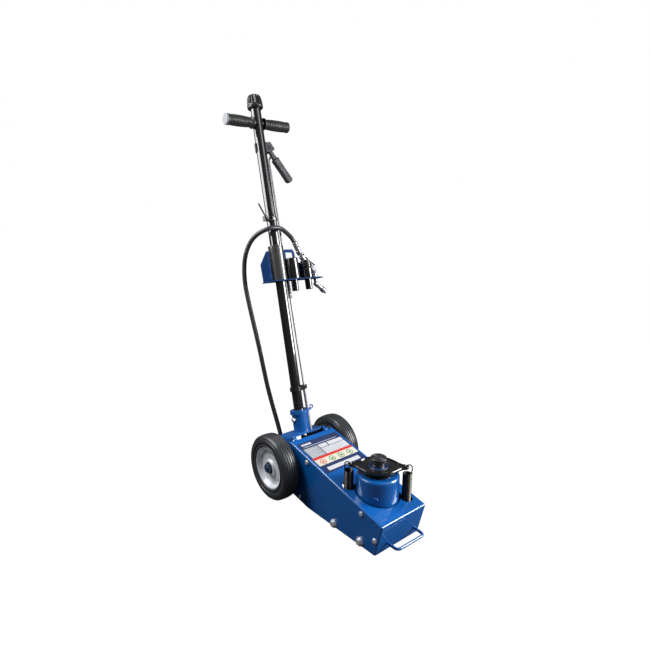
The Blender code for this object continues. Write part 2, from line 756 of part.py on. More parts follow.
def make_handle_tube(handle, paints):
    tube = ring_shape(TUBE_BORE, TUBE_RADIUS, YOKE_TOP + GAP, TUBE_TOP, 24)
    tube = add_object("handle_tube", tube, paints["black"], handle)
    hole = T_BAR_RADIUS + GAP
    drill(tube, "t_bar_hole", hole, (0, -0.02, T_BAR_S), (0, 0.02, T_BAR_S), 24)
    cap = T_BAR_REACH - 0.0006
    bar = [
        (0, cap - 0.002),
        (0.008, cap - 0.002),
        (0.008, -T_BAR_REACH + 0.002),
        (T_BAR_RADIUS, -T_BAR_REACH + 0.002),
        (T_BAR_RADIUS, cap),
        (0.0165, cap),
        (0.0165, cap + 0.003),
        (0.0150, cap + 0.0042),
        (0, cap + 0.0042),
    ]
    bar = add_object("t_bar", turned(bar, 24), paints["chrome"], handle, (0, 0, T_BAR_S), (0, -1, 0))
    drill(bar, "shaft_hole", 0.0066, (0, 0, T_BAR_S - 0.02), (0, 0, T_BAR_S + 0.02))
    for side_name, side in SIDES:
        end = T_BAR_REACH - 0.001 if side < 0 else T_BAR_REACH + 0.003
        grip = [
            (T_BAR_RADIUS + GAP, 0.0195),
            (0.0185, 0.0195),
            (0.0185, 0.0235),
            (0.0148, 0.0255),
            (0.0172, 0.068),
            (0.0160, end - 0.006),
            (0.0170, end - 0.004),
            (0.0170, end),
            (T_BAR_RADIUS + GAP, end),
        ]
        name = f"grip_{side_name}"
        add_object(name, turned(grip, 24), paints["rubber"], handle, (0, 0, T_BAR_S), (0, side, 0))


def make_release(handle, paints):
    """The knob on the tube's top and the rod that it turns, down to a cup round the valve shaft's ball."""
    cup_angles = [math.radians(angle) for angle in (0, 18, 36, 54, 72)]
    inner = [(0.0091 * math.sin(a), 0.0091 * math.cos(a)) for a in cup_angles]
    outer = [(0.0115 * math.sin(a), 0.0115 * math.cos(a)) for a in reversed(cup_angles[2:])]
    rod = [*inner, *outer, (0.006, 0.016), (0.006, KNOB_TOP - 0.012), (0, KNOB_TOP - 0.012)]
    add_object("release_rod", turned(rod, 16), paints["steel"], handle)
    knob = [
        (TUBE_RADIUS + GAP, KNOB_FOOT),
        (0.0225, KNOB_FOOT),
        (0.0245, KNOB_FOOT + 0.004),
        (0.0240, KNOB_FOOT + 0.014),
        (0.0200, KNOB_TOP - 0.006),
        (0.0165, KNOB_TOP - 0.001),
        (0.0063, KNOB_TOP),
        (0.0063, TUBE_TOP + 0.004),
        (TUBE_RADIUS + GAP, TUBE_TOP + 0.004),
    ]
    add_object("release_knob", turned(knob, 24), paints["plastic"], handle)


def lock_rod_at(height):
    """The lock rod's centre at a distance along the handle."""
    share = (height - LOCK_ROD_FOOT.z) / (LOCK_ROD_TOP.z - LOCK_ROD_FOOT.z)
    return LOCK_ROD_FOOT.lerp(LOCK_ROD_TOP, share)


def lever_view(points):
    """Points given along the lever and off it, from its pivot, as (Y, S) points of the handle."""
    run = (LEVER_END - LEVER_PIVOT).normalized()
    across = Vector((0, -run.z, run.y))
    return [tuple((LEVER_PIVOT + run * along + across * off).yz) for along, off in points]


def make_lever_bracket(handle, material):
    """A saddle on the tube's back and a slanted channel beside the tube, with the lever's pivot pin."""
    saddle = box_shape((-0.0195, -0.0195, 0.960), (0, 0.0195, 0.986))
    bracket = add_object("lever_bracket", saddle, material, handle)
    join(bracket, "arm", box_shape((-0.0100, 0.0120, 0.958), (0.0100, 0.0200, 0.990)))
    drill(bracket, "tube_hole", TUBE_RADIUS + GAP, (0, 0, 0.95), (0, 0, 1.0), 24)
    rear, front, low, top = -0.014, 0.013, -0.006, 0.0150
    cheek = [(0.017, 0.959), *lever_view([(front, low), (front, top), (rear, top)]), (0.017, 0.9885)]
    for side in (-1, 1):
        inner, outer = sorted((side * 0.0066, side * 0.0095))
        join(bracket, f"cheek_{side}", slab(cheek, inner, outer, "X"))
    web = lever_view([(-0.013, 0.0130), (0.012, 0.0130), (0.012, 0.0147), (-0.013, 0.0147)])
    join(bracket, "web", slab(web, -0.0080, 0.0080, "X"))
    join(bracket, "pin", rod_shape(0.003, -0.0110, 0.0110, 12), LEVER_PIVOT, (1, 0, 0))


def make_lock(handle, paints):
    """The squeeze lever under the T-bar, and the rod that it lifts off the sector."""
    outline = [
        (-0.0035, -0.0045),
        (0.034, -0.008),
        (0.036, -0.013),
        (0.120, -0.012),
        (0.124, 0.000),
        (0.120, 0.012),
        (0.040, 0.011),
        (0.030, 0.006),
        (-0.0035, 0.0045),
    ]
    hole = circle(LEVER_PIVOT.y, LEVER_PIVOT.z, 0.0033, 12)
    lever = slab(lever_view(outline), -0.0062, 0.0062, "X", [hole])
    add_object("lock_lever", lever, paints["black"], handle)

    heights = [0.066, 0.205, 0.212, 0.93]
    points = [lock_rod_at(height) for height in heights]
    points += [Vector((-0.0105, 0.0300, 0.940)), Vector((-0.0105, 0.0385, 0.951))]
    radii = [1.9, 1.9, 1, 1, 1, 1]
    wire("lock_rod", points, 0.003, paints["zinc"], handle, radii, resolution=3)
    guide_centre = lock_rod_at(0.211)
    guide = [*arc(0, 0, 0.0195, 140, 400, 16), *arc(guide_centre.x, guide_centre.y, 0.0093, 0, 160, 8)]
    holes = [circle(0, 0, TUBE_RADIUS + GAP, 24), circle(guide_centre.x, guide_centre.y, 0.0064, 16)]
    add_object("rod_guide", slab(guide, 0.205, 0.217, holes=holes), paints["plastic"], handle)
    spring_low, spring_high = 0.497, 0.5525
    centre = lock_rod_at((spring_low + spring_high) / 2)
    spring = ring_shape(0.0046, 0.0075, spring_low, spring_high, 14)
    add_object("rod_spring", spring, paints["steel"], handle, (centre.x, centre.y, 0))


def make_storage_bracket(handle, paints):
    """The bracket half way up the handle: a shelf, two wings, and a sleeve round the tube."""
    shelf = [(-0.024, -0.052), (0.006, -0.052), (0.038, -0.040)]
    shelf += [(0.038, 0.125), (0.014, 0.163), (-0.024, 0.163)]
    rod = lock_rod_at(SHELF_S)
    holes = [
        circle(0, 0, TUBE_RADIUS + GAP, 24),
        circle(rod.x, rod.y, 0.0042, 12),
        *[circle(*spot, STEM_RADIUS + GAP, 16) for spot in (TALL_ADAPTER, SHORT_ADAPTER)],
    ]
    low = SHELF_S - SHEET
    bracket = add_object("storage_bracket", slab(shelf, low, SHELF_S, holes=holes), paints["blue"], handle)
    base = SHELF_S - 0.001
    root = [(-0.0350, base), (-0.0275, base), (-0.0275, 0.650), (-0.0350, 0.650)]
    join(bracket, "left_root", slab(root, -0.0015, 0.0015, "X"))
    left_wing = [(-0.060, base), (-0.0335, base), (-0.0335, 0.6495), (-0.037, 0.6495), (-0.0615, 0.612)]
    left_wing = slab(left_wing, -0.0014, 0.0014, "X")
    fold, swept = Vector((0, -0.0345, 0)), Matrix.Rotation(math.radians(-LEFT_WING_SWEEP), 3, "Z")
    bmesh.ops.rotate(left_wing, cent=fold, matrix=swept, verts=left_wing.verts)
    join(bracket, "left_wing", left_wing)
    right_wing = [(0.040, base), (0.122, base), (0.122, 0.600), (0.069, 0.612), (0.069, 0.642)]
    right_wing += [(0.062, 0.653), (0.027, 0.653), (0.027, 0.600), (0.040, 0.590)]
    window = [(0.034, 0.624), (0.060, 0.624), (0.060, 0.642), (0.034, 0.644)]
    join(bracket, "right_wing", slab(right_wing, -0.0012, 0.0012, "X", [window]))
    sleeve = ring_shape(TUBE_RADIUS + GAP, 0.0235, SHELF_S + GAP, 0.665, 28)
    add_object("bracket_sleeve", sleeve, paints["black"], handle)


def make_adapters(handle, material):
    low, top_tall, top_short = SHELF_S + GAP, 0.622, 0.612
    tall = [
        (0, 0.518),
        (STEM_RADIUS - 0.0015, 0.518),
        (STEM_RADIUS, 0.520),
        (STEM_RADIUS, low),
        (0.0200, low),
        (0.0200, top_tall - 0.002),
        (0.0185, top_tall),
        (0, top_tall),
    ]
    short = [
        (0, 0.519),
        (STEM_RADIUS - 0.0015, 0.519),
        (STEM_RADIUS, 0.521),
        (STEM_RADIUS, low),
        (0.0180, low),
        (0.0180, 0.586),
        (0.0165, 0.589),
        (0.0185, 0.592),
        (0.0185, 0.602),
        (0.0165, 0.604),
        (0.0175, 0.607),
        (0.0165, top_short),
        (0, top_short),
    ]
    add_object("adapter_tall", turned(tall, 24), material, handle, (*TALL_ADAPTER, 0))
    add_object("adapter_short", turned(short, 24), material, handle, (*SHORT_ADAPTER, 0))


def make_air_line(handle, paints):
    """The air valve with its thumb lever and inlet coupler, and the hose that feeds the motor."""
    run = VALVE_FOOT - VALVE_TOP
    length = run.length
    body = [
        (0, 0),
        (0.0085, 0),
        (0.0085, 0.012),
        (0.0070, 0.014),
        (0.0070, 0.034),
        (0.0092, 0.038),
        (0.0092, 0.066),
        (0.0070, 0.070),
        (0.0070, length),
        (0, length),
    ]
    valve = add_object("air_valve", turned(body, 18), paints["chrome"], handle, VALVE_TOP, run)
    stub_y = 0.1500
    stub = rod_shape(0.0062, SHELF_S + GAP, 0.582, 14)
    join(valve, "mounting_stub", stub, (VALVE_TOP.x, stub_y, 0))

    barrel_start = Vector((VALVE_TOP.x, 0.1460, 0.5400))
    barrel_end = Vector((VALVE_TOP.x, 0.1870, 0.5040))
    reach = (barrel_end - barrel_start).length
    barrel = [
        (0, 0),
        (0.0075, 0),
        (0.0075, 0.014),
        (0.0060, 0.016),
        (0.0060, 0.030),
        (0.0085, 0.033),
        (0.0085, reach - 0.008),
        (0.0050, reach - 0.006),
        (0.0050, reach),
        (0, reach),
    ]
    drop = barrel_end - barrel_start
    coupler = add_object("inlet_coupler", turned(barrel, 18), paints["chrome"], handle, barrel_start, drop)
    join(coupler, "neck", rod_shape(0.0060, 0.536, SHELF_S - SHEET - GAP, 14), (VALVE_TOP.x, stub_y, 0))

    along = run.normalized()
    away = Vector((0, -along.z, along.y))
    outline = [(0.004, 0.0088), (0.011, 0.0105), (0.060, 0.0190)]
    outline += [(0.060, 0.0215), (0.010, 0.0155), (0.002, 0.0150)]
    points = [VALVE_TOP + along * far + away * off for far, off in outline]
    lever = slab([(point.y, point.z) for point in points], VALVE_TOP.x - 0.006, VALVE_TOP.x + 0.006, "X")
    add_object("valve_lever", lever, paints["chrome"], handle)

    ferrule = FERRULE_FOOT - FERRULE_TOP
    sleeve = [
        (0, 0),
        (0.0088, 0),
        (0.0088, 0.026),
        (0.0065, 0.028),
        (0.0095, 0.031),
        (0.0095, ferrule.length - 0.004),
        (0.006, ferrule.length),
        (0, ferrule.length),
    ]
    add_object("hose_ferrule", turned(sleeve, 18), paints["chrome"], handle, FERRULE_TOP, ferrule)

    to_jack = Matrix.Translation((AXLE_X, 0, AXLE_Z)) @ Matrix.Rotation(-LEAN, 4, "Y")
    route = [to_jack @ Vector(point) for point in HOSE_ON_HANDLE]
    wire("air_hose", smooth_route([*route, *HOSE_IN_HOUSING], 0.018), HOSE_RADIUS, paints["rubber"])


def make_hose_hook(handle, paints):
    """The clamp that holds the hose at the top of its arc, with an open wire hook for a spare line."""
    band = ring_shape(TUBE_RADIUS + GAP, 0.0182, 0.741, 0.759, 24)
    hook = add_object("hose_hook", band, paints["steel"], handle)
    join(hook, "block", box_shape((-0.002, -0.040, 0.738), (0.017, -0.0172, 0.763)))
    corners = [(0.007, -0.034, 0.755), (0.007, -0.034, 0.772), (0.004, -0.042, 0.797)]
    bar = bent_points(corners, 0.006, 3)
    join(hook, "wire", bent_bar(bar, 0.0024))


clear_scene()
PAINTS = {
    "blue": paint("blue_paint", (0.02, 0.16, 0.48), 0.28),
    "black": paint("black_paint", (0.015, 0.015, 0.018), 0.22),
    "plastic": paint("black_plastic", (0.02, 0.02, 0.022), 0.45),
    "rubber": paint("black_rubber", (0.025, 0.025, 0.027), 0.65),
    "steel": paint("dark_steel", (0.16, 0.16, 0.17), 0.35, 1.0),
    "zinc": paint("zinc_plate", (0.72, 0.72, 0.74), 0.32, 1.0),
    "chrome": paint("chrome_plate", (0.82, 0.82, 0.84), 0.12, 1.0),
    "aluminium": paint("cast_aluminium", (0.55, 0.56, 0.58), 0.40, 1.0),
    "brass": paint("sintered_brass", (0.60, 0.44, 0.18), 0.55, 1.0),
}

for label, sign in SIDES:
    make_side_plate(f"side_plate_{label}", sign, PAINTS["blue"])
    make_wheel(label, sign, PAINTS)
make_top_cover(PAINTS["blue"])
make_tow_handle(PAINTS["blue"])
make_base_casting(PAINTS["blue"])
make_reservoir_tank(PAINTS["blue"])
make_hydraulics(PAINTS)
make_return_plate(PAINTS["black"])
make_return_springs(PAINTS["black"])
make_air_motor(PAINTS)
make_valve_shaft(PAINTS["zinc"])
make_fasteners(PAINTS)
make_lock_sector(PAINTS["zinc"])

handle_frame = add_frame("handle_axis", (AXLE_X, 0, AXLE_Z), (0, -LEAN, 0))
make_yoke(handle_frame, PAINTS["blue"])
make_socket(handle_frame, PAINTS)
make_handle_tube(handle_frame, PAINTS)
make_release(handle_frame, PAINTS)
make_lever_bracket(handle_frame, PAINTS["black"])
make_lock(handle_frame, PAINTS)
make_storage_bracket(handle_frame, PAINTS)
make_adapters(handle_frame, PAINTS["black"])
make_air_line(handle_frame, PAINTS)
make_hose_hook(handle_frame, PAINTS)
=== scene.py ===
"""Air-over-hydraulic truck jack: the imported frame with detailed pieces, materials, light and a camera."""

import json
import math

import bmesh
import bpy
from mathutils import Matrix, Vector


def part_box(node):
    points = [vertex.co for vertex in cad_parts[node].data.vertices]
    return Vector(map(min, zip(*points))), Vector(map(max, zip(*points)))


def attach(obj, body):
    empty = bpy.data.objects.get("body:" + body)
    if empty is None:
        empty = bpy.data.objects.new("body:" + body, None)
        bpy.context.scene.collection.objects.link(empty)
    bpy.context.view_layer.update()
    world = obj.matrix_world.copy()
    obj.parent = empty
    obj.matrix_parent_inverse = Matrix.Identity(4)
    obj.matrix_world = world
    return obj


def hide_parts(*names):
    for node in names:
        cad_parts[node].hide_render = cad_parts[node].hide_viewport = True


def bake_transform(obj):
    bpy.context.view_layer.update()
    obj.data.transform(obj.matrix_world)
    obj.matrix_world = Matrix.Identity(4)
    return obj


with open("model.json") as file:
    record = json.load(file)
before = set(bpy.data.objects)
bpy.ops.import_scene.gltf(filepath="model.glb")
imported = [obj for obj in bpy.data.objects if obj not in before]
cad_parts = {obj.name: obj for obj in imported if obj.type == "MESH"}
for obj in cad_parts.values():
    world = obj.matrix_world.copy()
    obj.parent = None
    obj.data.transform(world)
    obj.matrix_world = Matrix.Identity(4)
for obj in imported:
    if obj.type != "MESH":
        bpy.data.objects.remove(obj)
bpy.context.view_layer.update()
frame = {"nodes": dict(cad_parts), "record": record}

RECORD = frame["record"]
JOINTS = {joint["name"]: joint for joint in RECORD["behaviour"]["joints"]}
SLOT_OF = {part["node"]: part["material_slot"] for part in RECORD["subparts"]}
BODY_OF = {node: body for body, nodes in RECORD["behaviour"]["bodies"].items() for node in nodes}
SIDES = (("left", 1), ("right", -1))

# The handle's own frame is at the axle: U to the front, Y to the left, S up along the tube.
AXLE = Vector(JOINTS["handle_tilt"]["pos_m"])
S_AXIS = Vector(JOINTS["release_turn"]["axis"]).normalized()
U_AXIS = Vector((S_AXIS.z, 0, -S_AXIS.x))
ON_HANDLE = Matrix.Translation(AXLE) @ Matrix((U_AXIS, (0, 1, 0), S_AXIS)).transposed().to_4x4()

# Sizes shared with the CAD source, in metres
GAP = 0.0003
HALF_WIDTH, SIDE_PLATE, SHEET, FLOOR_CLEARANCE = 0.0836, 0.004, 0.003, 0.0035
TOP_HEIGHT, TOP_SLOPE, TOP_REAR_X = 0.1164, 0.2254, -0.281
NOSE_BOTTOM_X, NOSE_RAKE = 0.0769, 0.2475
CUTOUT_RADIUS, SPRING_CUTOUT = 0.062, 0.017
PLATE_LOW, PLATE_HIGH, EAR_REACH = 0.188, 0.196, 0.0740
SPRING_OFFSET, SPRING_RADIUS = 0.055, 0.013
SPRING_LOW, SPRING_HIGH = 0.046, 0.178
TANK_RADIUS, TANK_TOP = 0.058, 0.1735
RAM_RADIUS, RAM_TOP, SADDLE_TOP = 0.018, 0.2065, 0.218
BEARING_HALF = 0.0175
TUBE_RADIUS = 0.0158
KNOB_FOOT, KNOB_TOP = 1.092, 1.1345
T_BAR_S, T_BAR_RADIUS, T_BAR_REACH = 1.048, 0.011, 0.109
SHELF_S = 0.556
LEVER_PIVOT, LEVER_END = Vector((0, 0.026, 0.972)), Vector((0, 0.0915, 0.872))
LOCK_ROD_TOP, LOCK_ROD_FOOT = Vector((-0.005, 0.0265, 0.93)), Vector((-0.005, 0.0381, 0.066))
VALVE_TOP, VALVE_FOOT = Vector((-0.012, 0.104, 0.631)), Vector((-0.012, 0.160, 0.565))
FERRULE_TOP, FERRULE_FOOT = Vector((-0.0085, 0.082, 0.6765)), Vector((-0.0115, 0.1015, 0.6345))
HOSE_RADIUS = 0.007
MOTOR_PORT = (-0.2253, -0.042, 0.052)
FLOOR_GLOW = 1.0

# The hose's route: down behind the handle in the handle's frame, then under the axle in the jack's frame.
HOSE_ON_HANDLE = [
    (-0.0085, 0.0810, 0.6785),
    (-0.0040, 0.0665, 0.6945),
    (0.0130, 0.0340, 0.7090),
    (0.0215, 0.0150, 0.7150),
    (0.0245, -0.0050, 0.7180),
    (0.0200, -0.0320, 0.7150),
    (-0.0070, -0.0520, 0.7060),
    (-0.0410, -0.0620, 0.6870),
    (-0.0670, -0.0700, 0.6530),
    (-0.0807, -0.0740, 0.6140),
    (-0.0863, -0.0760, 0.5650),
    (-0.0850, -0.0750, 0.5190),
    (-0.0825, -0.0710, 0.4560),
    (-0.0794, -0.0670, 0.3960),
    (-0.0773, -0.0630, 0.3350),
    (-0.0769, -0.0590, 0.2757),
    (-0.0755, -0.0550, 0.2200),
    (-0.0705, -0.0500, 0.1606),
    (-0.0628, -0.0430, 0.0807),
]
HOSE_IN_HOUSING = [
    (-0.3850, -0.0400, 0.1200),
    (-0.3640, -0.0390, 0.0820),
    (-0.3270, -0.0400, 0.0590),
    (-0.2830, -0.0415, 0.0525),
    (-0.2450, -0.0420, 0.0520),
    MOTOR_PORT,
]

CAMERA_TARGET = Vector((-0.27671, 0.04257, 0.52194))
CAMERA_AZIMUTH, CAMERA_ELEVATION, CAMERA_ROLL = 49.912, 12.385, 0.585
CAMERA_DISTANCE, CAMERA_LENS = 1.48392, 27.49


# Materials


def shader_graph(name):
    material = bpy.data.materials.new(name)
    material.use_nodes = True
    return material, material.node_tree, material.node_tree.nodes["Principled BSDF"]


def fill(node, values):
    """Sets the node's named inputs."""
    for name, value in values.items():
        node.inputs[name].default_value = value


def noise(tree, scale, detail=3.0):
    """A noise texture in the piece's own coordinates, so it moves with the piece."""
    coordinates = tree.nodes.new("ShaderNodeTexCoord")
    texture = tree.nodes.new("ShaderNodeTexNoise")
    fill(texture, {"Scale": scale, "Detail": detail})
    tree.links.new(coordinates.outputs["Object"], texture.inputs["Vector"])
    return texture.outputs["Fac"]


def spread(tree, value, low, high, start=0.3, end=0.7):
    """Maps value from start..end to low..high."""
    node = tree.nodes.new("ShaderNodeMapRange")
    fill(node, {"From Min": start, "From Max": end, "To Min": low, "To Max": high})
    tree.links.new(value, node.inputs["Value"])
    return node.outputs["Result"]


def mixed(tree, share, first, second):
    """A colour mix. first and second are colours or sockets."""
    node = tree.nodes.new("ShaderNodeMix")
    node.data_type = "RGBA"
    tree.links.new(share, node.inputs["Factor"])
    for socket, value in ((node.inputs["A"], first), (node.inputs["B"], second)):
        if isinstance(value, bpy.types.NodeSocket):
            tree.links.new(value, socket)
        else:
            socket.default_value = (*value, 1)
    return node.outputs["Result"]


def multiplied(tree, first, second):
    node = tree.nodes.new("ShaderNodeMath")
    node.operation = "MULTIPLY"
    tree.links.new(first, node.inputs[0])
    tree.links.new(second, node.inputs[1])
    return node.outputs[0]


def bumped(tree, shader, height, strength, distance):
    node = tree.nodes.new("ShaderNodeBump")
    fill(node, {"Strength": strength, "Distance": distance})
    tree.links.new(height, node.inputs["Height"])
    tree.links.new(node.outputs["Normal"], shader.inputs["Normal"])


def edge_wear(tree, amount):
    """Patches on convex edges, from 0 to amount."""
    geometry = tree.nodes.new("ShaderNodeNewGeometry")
    edges = spread(tree, geometry.outputs["Pointiness"], 0, amount, 0.56, 0.66)
    patches = spread(tree, noise(tree, 90, 5), 0, 1, 0.45, 0.62)
    return multiplied(tree, edges, patches)


def enamel(name, colour, worn, roughness, coat=1.0, wear=0.5, specular=0.5):
    """Sprayed gloss paint: orange peel, a little uneven gloss and rubbed edges under a clear coat."""
    material, tree, shader = shader_graph(name)
    shade = spread(tree, noise(tree, 7), 0, 1)
    darker = tuple(channel * 0.93 for channel in colour)
    base = mixed(tree, shade, darker, colour)
    base = mixed(tree, edge_wear(tree, wear), base, worn)
    tree.links.new(base, shader.inputs["Base Color"])
    gloss = spread(tree, noise(tree, 60, 6), roughness * 0.9, roughness * 1.15)
    tree.links.new(gloss, shader.inputs["Roughness"])
    bumped(tree, shader, noise(tree, 300, 2), 0.02, 0.00008)
    fill(shader, {"Specular IOR Level": specular})
    fill(shader, {"Coat Weight": coat, "Coat Roughness": 0.04, "Coat IOR": 1.6})
    return material


def rubber(name, colour, roughness, grain, sheen=0.0):
    """Moulded rubber: fine grain and dusty patches."""
    material, tree, shader = shader_graph(name)
    dust = spread(tree, noise(tree, 26, 6), 0, 0.25, 0.45, 0.75)
    dusty = tuple(channel * 1.8 + 0.006 for channel in colour)
    base = mixed(tree, dust, colour, dusty)
    tree.links.new(base, shader.inputs["Base Color"])
    gloss = spread(tree, noise(tree, 55, 5), roughness * 0.85, roughness * 1.2)
    tree.links.new(gloss, shader.inputs["Roughness"])
    bumped(tree, shader, noise(tree, grain, 2), 0.03, 0.0002)
    fill(shader, {"Sheen Weight": sheen})
    return material


def metal(name, colour, roughness, tint=None, metallic=1.0):
    """Bare, plated or silver-painted metal, mottled towards the tint."""
    material, tree, shader = shader_graph(name)
    mottle = spread(tree, noise(tree, 38, 4), 0, 1)
    base = mixed(tree, mottle, tint or tuple(channel * 0.92 for channel in colour), colour)
    tree.links.new(base, shader.inputs["Base Color"])
    gloss = spread(tree, noise(tree, 50, 3), roughness * 0.9, roughness * 1.15)
    tree.links.new(gloss, shader.inputs["Roughness"])
    bumped(tree, shader, noise(tree, 260, 2), 0.01, 0.0001)
    fill(shader, {"Metallic": metallic})
    return material


def printed(name, colour):
    """A printed film: flat ink under a clear coat, slightly faded."""
    material, tree, shader = shader_graph(name)
    faded = tuple(channel * 0.88 + 0.02 for channel in colour)
    base = mixed(tree, spread(tree, noise(tree, 30, 5), 0, 1), colour, faded)
    tree.links.new(base, shader.inputs["Base Color"])
    bumped(tree, shader, noise(tree, 300, 2), 0.05, 0.0002)
    fill(shader, {"Roughness": 0.3, "Coat Weight": 0.4})
    return material


FINISHES = {
    "blue_paint": enamel("blue_enamel", (0.003, 0.105, 0.400), (0.10, 0.22, 0.45), 0.30, 0.7),
    "black_paint": enamel("black_enamel", (0.010, 0.010, 0.012), (0.06, 0.06, 0.065), 0.16, 1.0, 0.10),
    "black_plastic": rubber("black_plastic", (0.016, 0.016, 0.019), 0.30, 500),
    "black_rubber": rubber("black_rubber", (0.018, 0.018, 0.022), 0.42, 700, 0.1),
    "tyre_rubber": rubber("tyre_rubber", (0.040, 0.042, 0.047), 0.34, 900),
    "dark_steel": metal("dark_steel", (0.20, 0.20, 0.22), 0.34),
    "zinc_plate": metal("zinc_plate", (0.74, 0.76, 0.81), 0.30, tint=(0.66, 0.68, 0.74), metallic=0.50),
    "chrome_plate": metal("chrome_plate", (0.38, 0.39, 0.42), 0.28, metallic=0.70),
    "cast_aluminium": metal("cast_aluminium", (0.55, 0.56, 0.58), 0.42),
    "sintered_brass": metal("sintered_brass", (0.60, 0.44, 0.18), 0.55),
}
INKS = {
    "navy": printed("navy_ink", (0.012, 0.030, 0.110)),
    "white": printed("white_ink", (0.60, 0.61, 0.64)),
    "grey": printed("grey_ink", (0.30, 0.32, 0.37)),
    "red": printed("red_ink", (0.60, 0.030, 0.025)),
    "cream": printed("cream_ink", (0.68, 0.63, 0.54)),
    "green": printed("green_ink", (0.06, 0.26, 0.08)),
    "orange": printed("orange_ink", (0.55, 0.10, 0.05)),
}
HOSE_RUBBER = rubber("hose_rubber", (0.040, 0.042, 0.047), 0.30, 900)
SPRING_STEEL = metal("oiled_spring", (0.070, 0.066, 0.060), 0.34)
# Painted shade: a darker copy of the blue enamel, for the blue parts that sit in recesses (the hub ends and
# the collar sunk in the return plate).
SHADED_BLUE = enamel("shaded_blue", (0.003, 0.030, 0.110), (0.05, 0.08, 0.16), 0.34)
CLAMP_GREY = rubber("clamp_grey", (0.16, 0.17, 0.19), 0.50, 500)
LEVER_GREY = rubber("lever_grey", (0.040, 0.042, 0.050), 0.60, 500)
# Painted shade: the storage bracket's blue enamel is darker than the housing's, so that its wings look
# shaded.
SHADED_BRACKET_BLUE = enamel("bracket_blue_painted_shade", (0.001, 0.036, 0.150), (0.03, 0.10, 0.26), 0.60, 0.0, specular=0.12)
SATIN_SLEEVE = enamel("satin_sleeve", (0.040, 0.038, 0.038), (0.08, 0.08, 0.08), 0.42, 0.9, 0.1)
MATTE_BLACK = rubber("saddle_black", (0.020, 0.020, 0.023), 0.42, 400)
ROD_GREY = metal("drawn_rod", (0.50, 0.51, 0.54), 0.42, metallic=0.40)
RIM_SILVER = metal("rim_silver", (0.86, 0.89, 0.94), 0.32, tint=(0.76, 0.80, 0.86), metallic=0.15)
POLISHED = metal("polished_cap", (0.25, 0.26, 0.28), 0.50, metallic=0.20)


# Mesh tools


def circle(x, y, radius, count=32):
    angles = [2 * math.pi * step / count for step in range(count)]
    return [(x + radius * math.cos(angle), y + radius * math.sin(angle)) for angle in angles]


def arc(x, y, radius, start, end, count=8):
    """Points on an arc, with its angles in degrees."""
    angles = [math.radians(start + (end - start) * step / count) for step in range(count + 1)]
    return [(x + radius * math.cos(angle), y + radius * math.sin(angle)) for angle in angles]


def skin(shape, rings, closed, capped):
    """Joins rings of vertices into a surface. A ring of one vertex is a pole."""
    count = max(len(ring) for ring in rings)
    pairs = list(zip(rings, rings[1:]))
    if closed:
        pairs.append((rings[-1], rings[0]))
    for low, high in pairs:
        for step in range(count):
            turn = (step + 1) % count
            corners = [low[step % len(low)], low[turn % len(low)]]
            corners += [high[turn % len(high)], high[step % len(high)]]
            corners = list(dict.fromkeys(corners))
            if len(corners) > 2:
                shape.faces.new(corners)
    if capped:
        shape.faces.new(rings[0])
        shape.faces.new(rings[-1])


def lathe(profile, segments=64, waves=0, depth=0.0, wavy=()):
    """A solid turned about Z. The points numbered in wavy are fluted by depth, waves times round."""
    shape = bmesh.new()
    rings = []
    for index, (radius, height) in enumerate(profile):
        ring = []
        for step in range(segments if radius > 0 else 1):
            angle = 2 * math.pi * step / segments
            dip = depth * (0.5 - 0.5 * math.cos(waves * angle)) ** 0.6 if index in wavy else 0
            reach = radius - dip
            ring.append(shape.verts.new((reach * math.cos(angle), reach * math.sin(angle), height)))
        rings.append(ring)
    open_ended = profile[0][0] == 0 or profile[-1][0] == 0
    skin(shape, rings, not open_ended, False)
    return shape


def rod(radius, low, high, segments):
    """A plain round bar along Z."""
    return lathe([(0, low), (radius, low), (radius, high), (0, high)], segments)


def rounded(profile, radius, count=3):
    """The profile with each inner corner rounded, as far as its neighbours allow."""
    points = [Vector(point) for point in profile]
    result = [points[0]]
    for before, corner, after in zip(points, points[1:], points[2:]):
        reach = min(radius, (before - corner).length * 0.45, (after - corner).length * 0.45)
        entry = corner + (before - corner).normalized() * reach
        leave = corner + (after - corner).normalized() * reach
        for step in range(count + 1):
            t = step / count
            result.append(entry.lerp(corner, t).lerp(corner.lerp(leave, t), t))
    result.append(points[-1])
    return [tuple(point) for point in result]


def closed_rounded(profile, radius, count=3):
    """A closed profile with every corner rounded."""
    wrapped = [profile[-1], *profile, profile[0]]
    return rounded(wrapped, radius, count)[1:-1]


def slab(outline, low, high, axis="Z", holes=()):
    """A flat solid from low to high along axis. The outline holds the other two coordinates, in order."""
    spot = {
        "X": lambda a, b: (low, a, b),
        "Y": lambda a, b: (a, low, b),
        "Z": lambda a, b: (a, b, low),
    }[axis]
    shape = bmesh.new()
    edges = []
    for loop in [outline, *holes]:
        points = [shape.verts.new(spot(*point)) for point in loop]
        edges += [shape.edges.new(pair) for pair in zip(points, points[1:] + points[:1])]
    bmesh.ops.triangle_fill(shape, use_beauty=True, edges=edges)
    bmesh.ops.dissolve_limit(shape, angle_limit=0.001, verts=shape.verts, edges=shape.edges)
    grown = bmesh.ops.extrude_face_region(shape, geom=list(shape.faces))
    shift = {"X": (high - low, 0, 0), "Y": (0, high - low, 0), "Z": (0, 0, high - low)}[axis]
    moved = [item for item in grown["geom"] if isinstance(item, bmesh.types.BMVert)]
    bmesh.ops.translate(shape, verts=moved, vec=shift)
    return shape


def rectangle(x0, y0, x1, y1):
    return [(x0, y0), (x1, y0), (x1, y1), (x0, y1)]


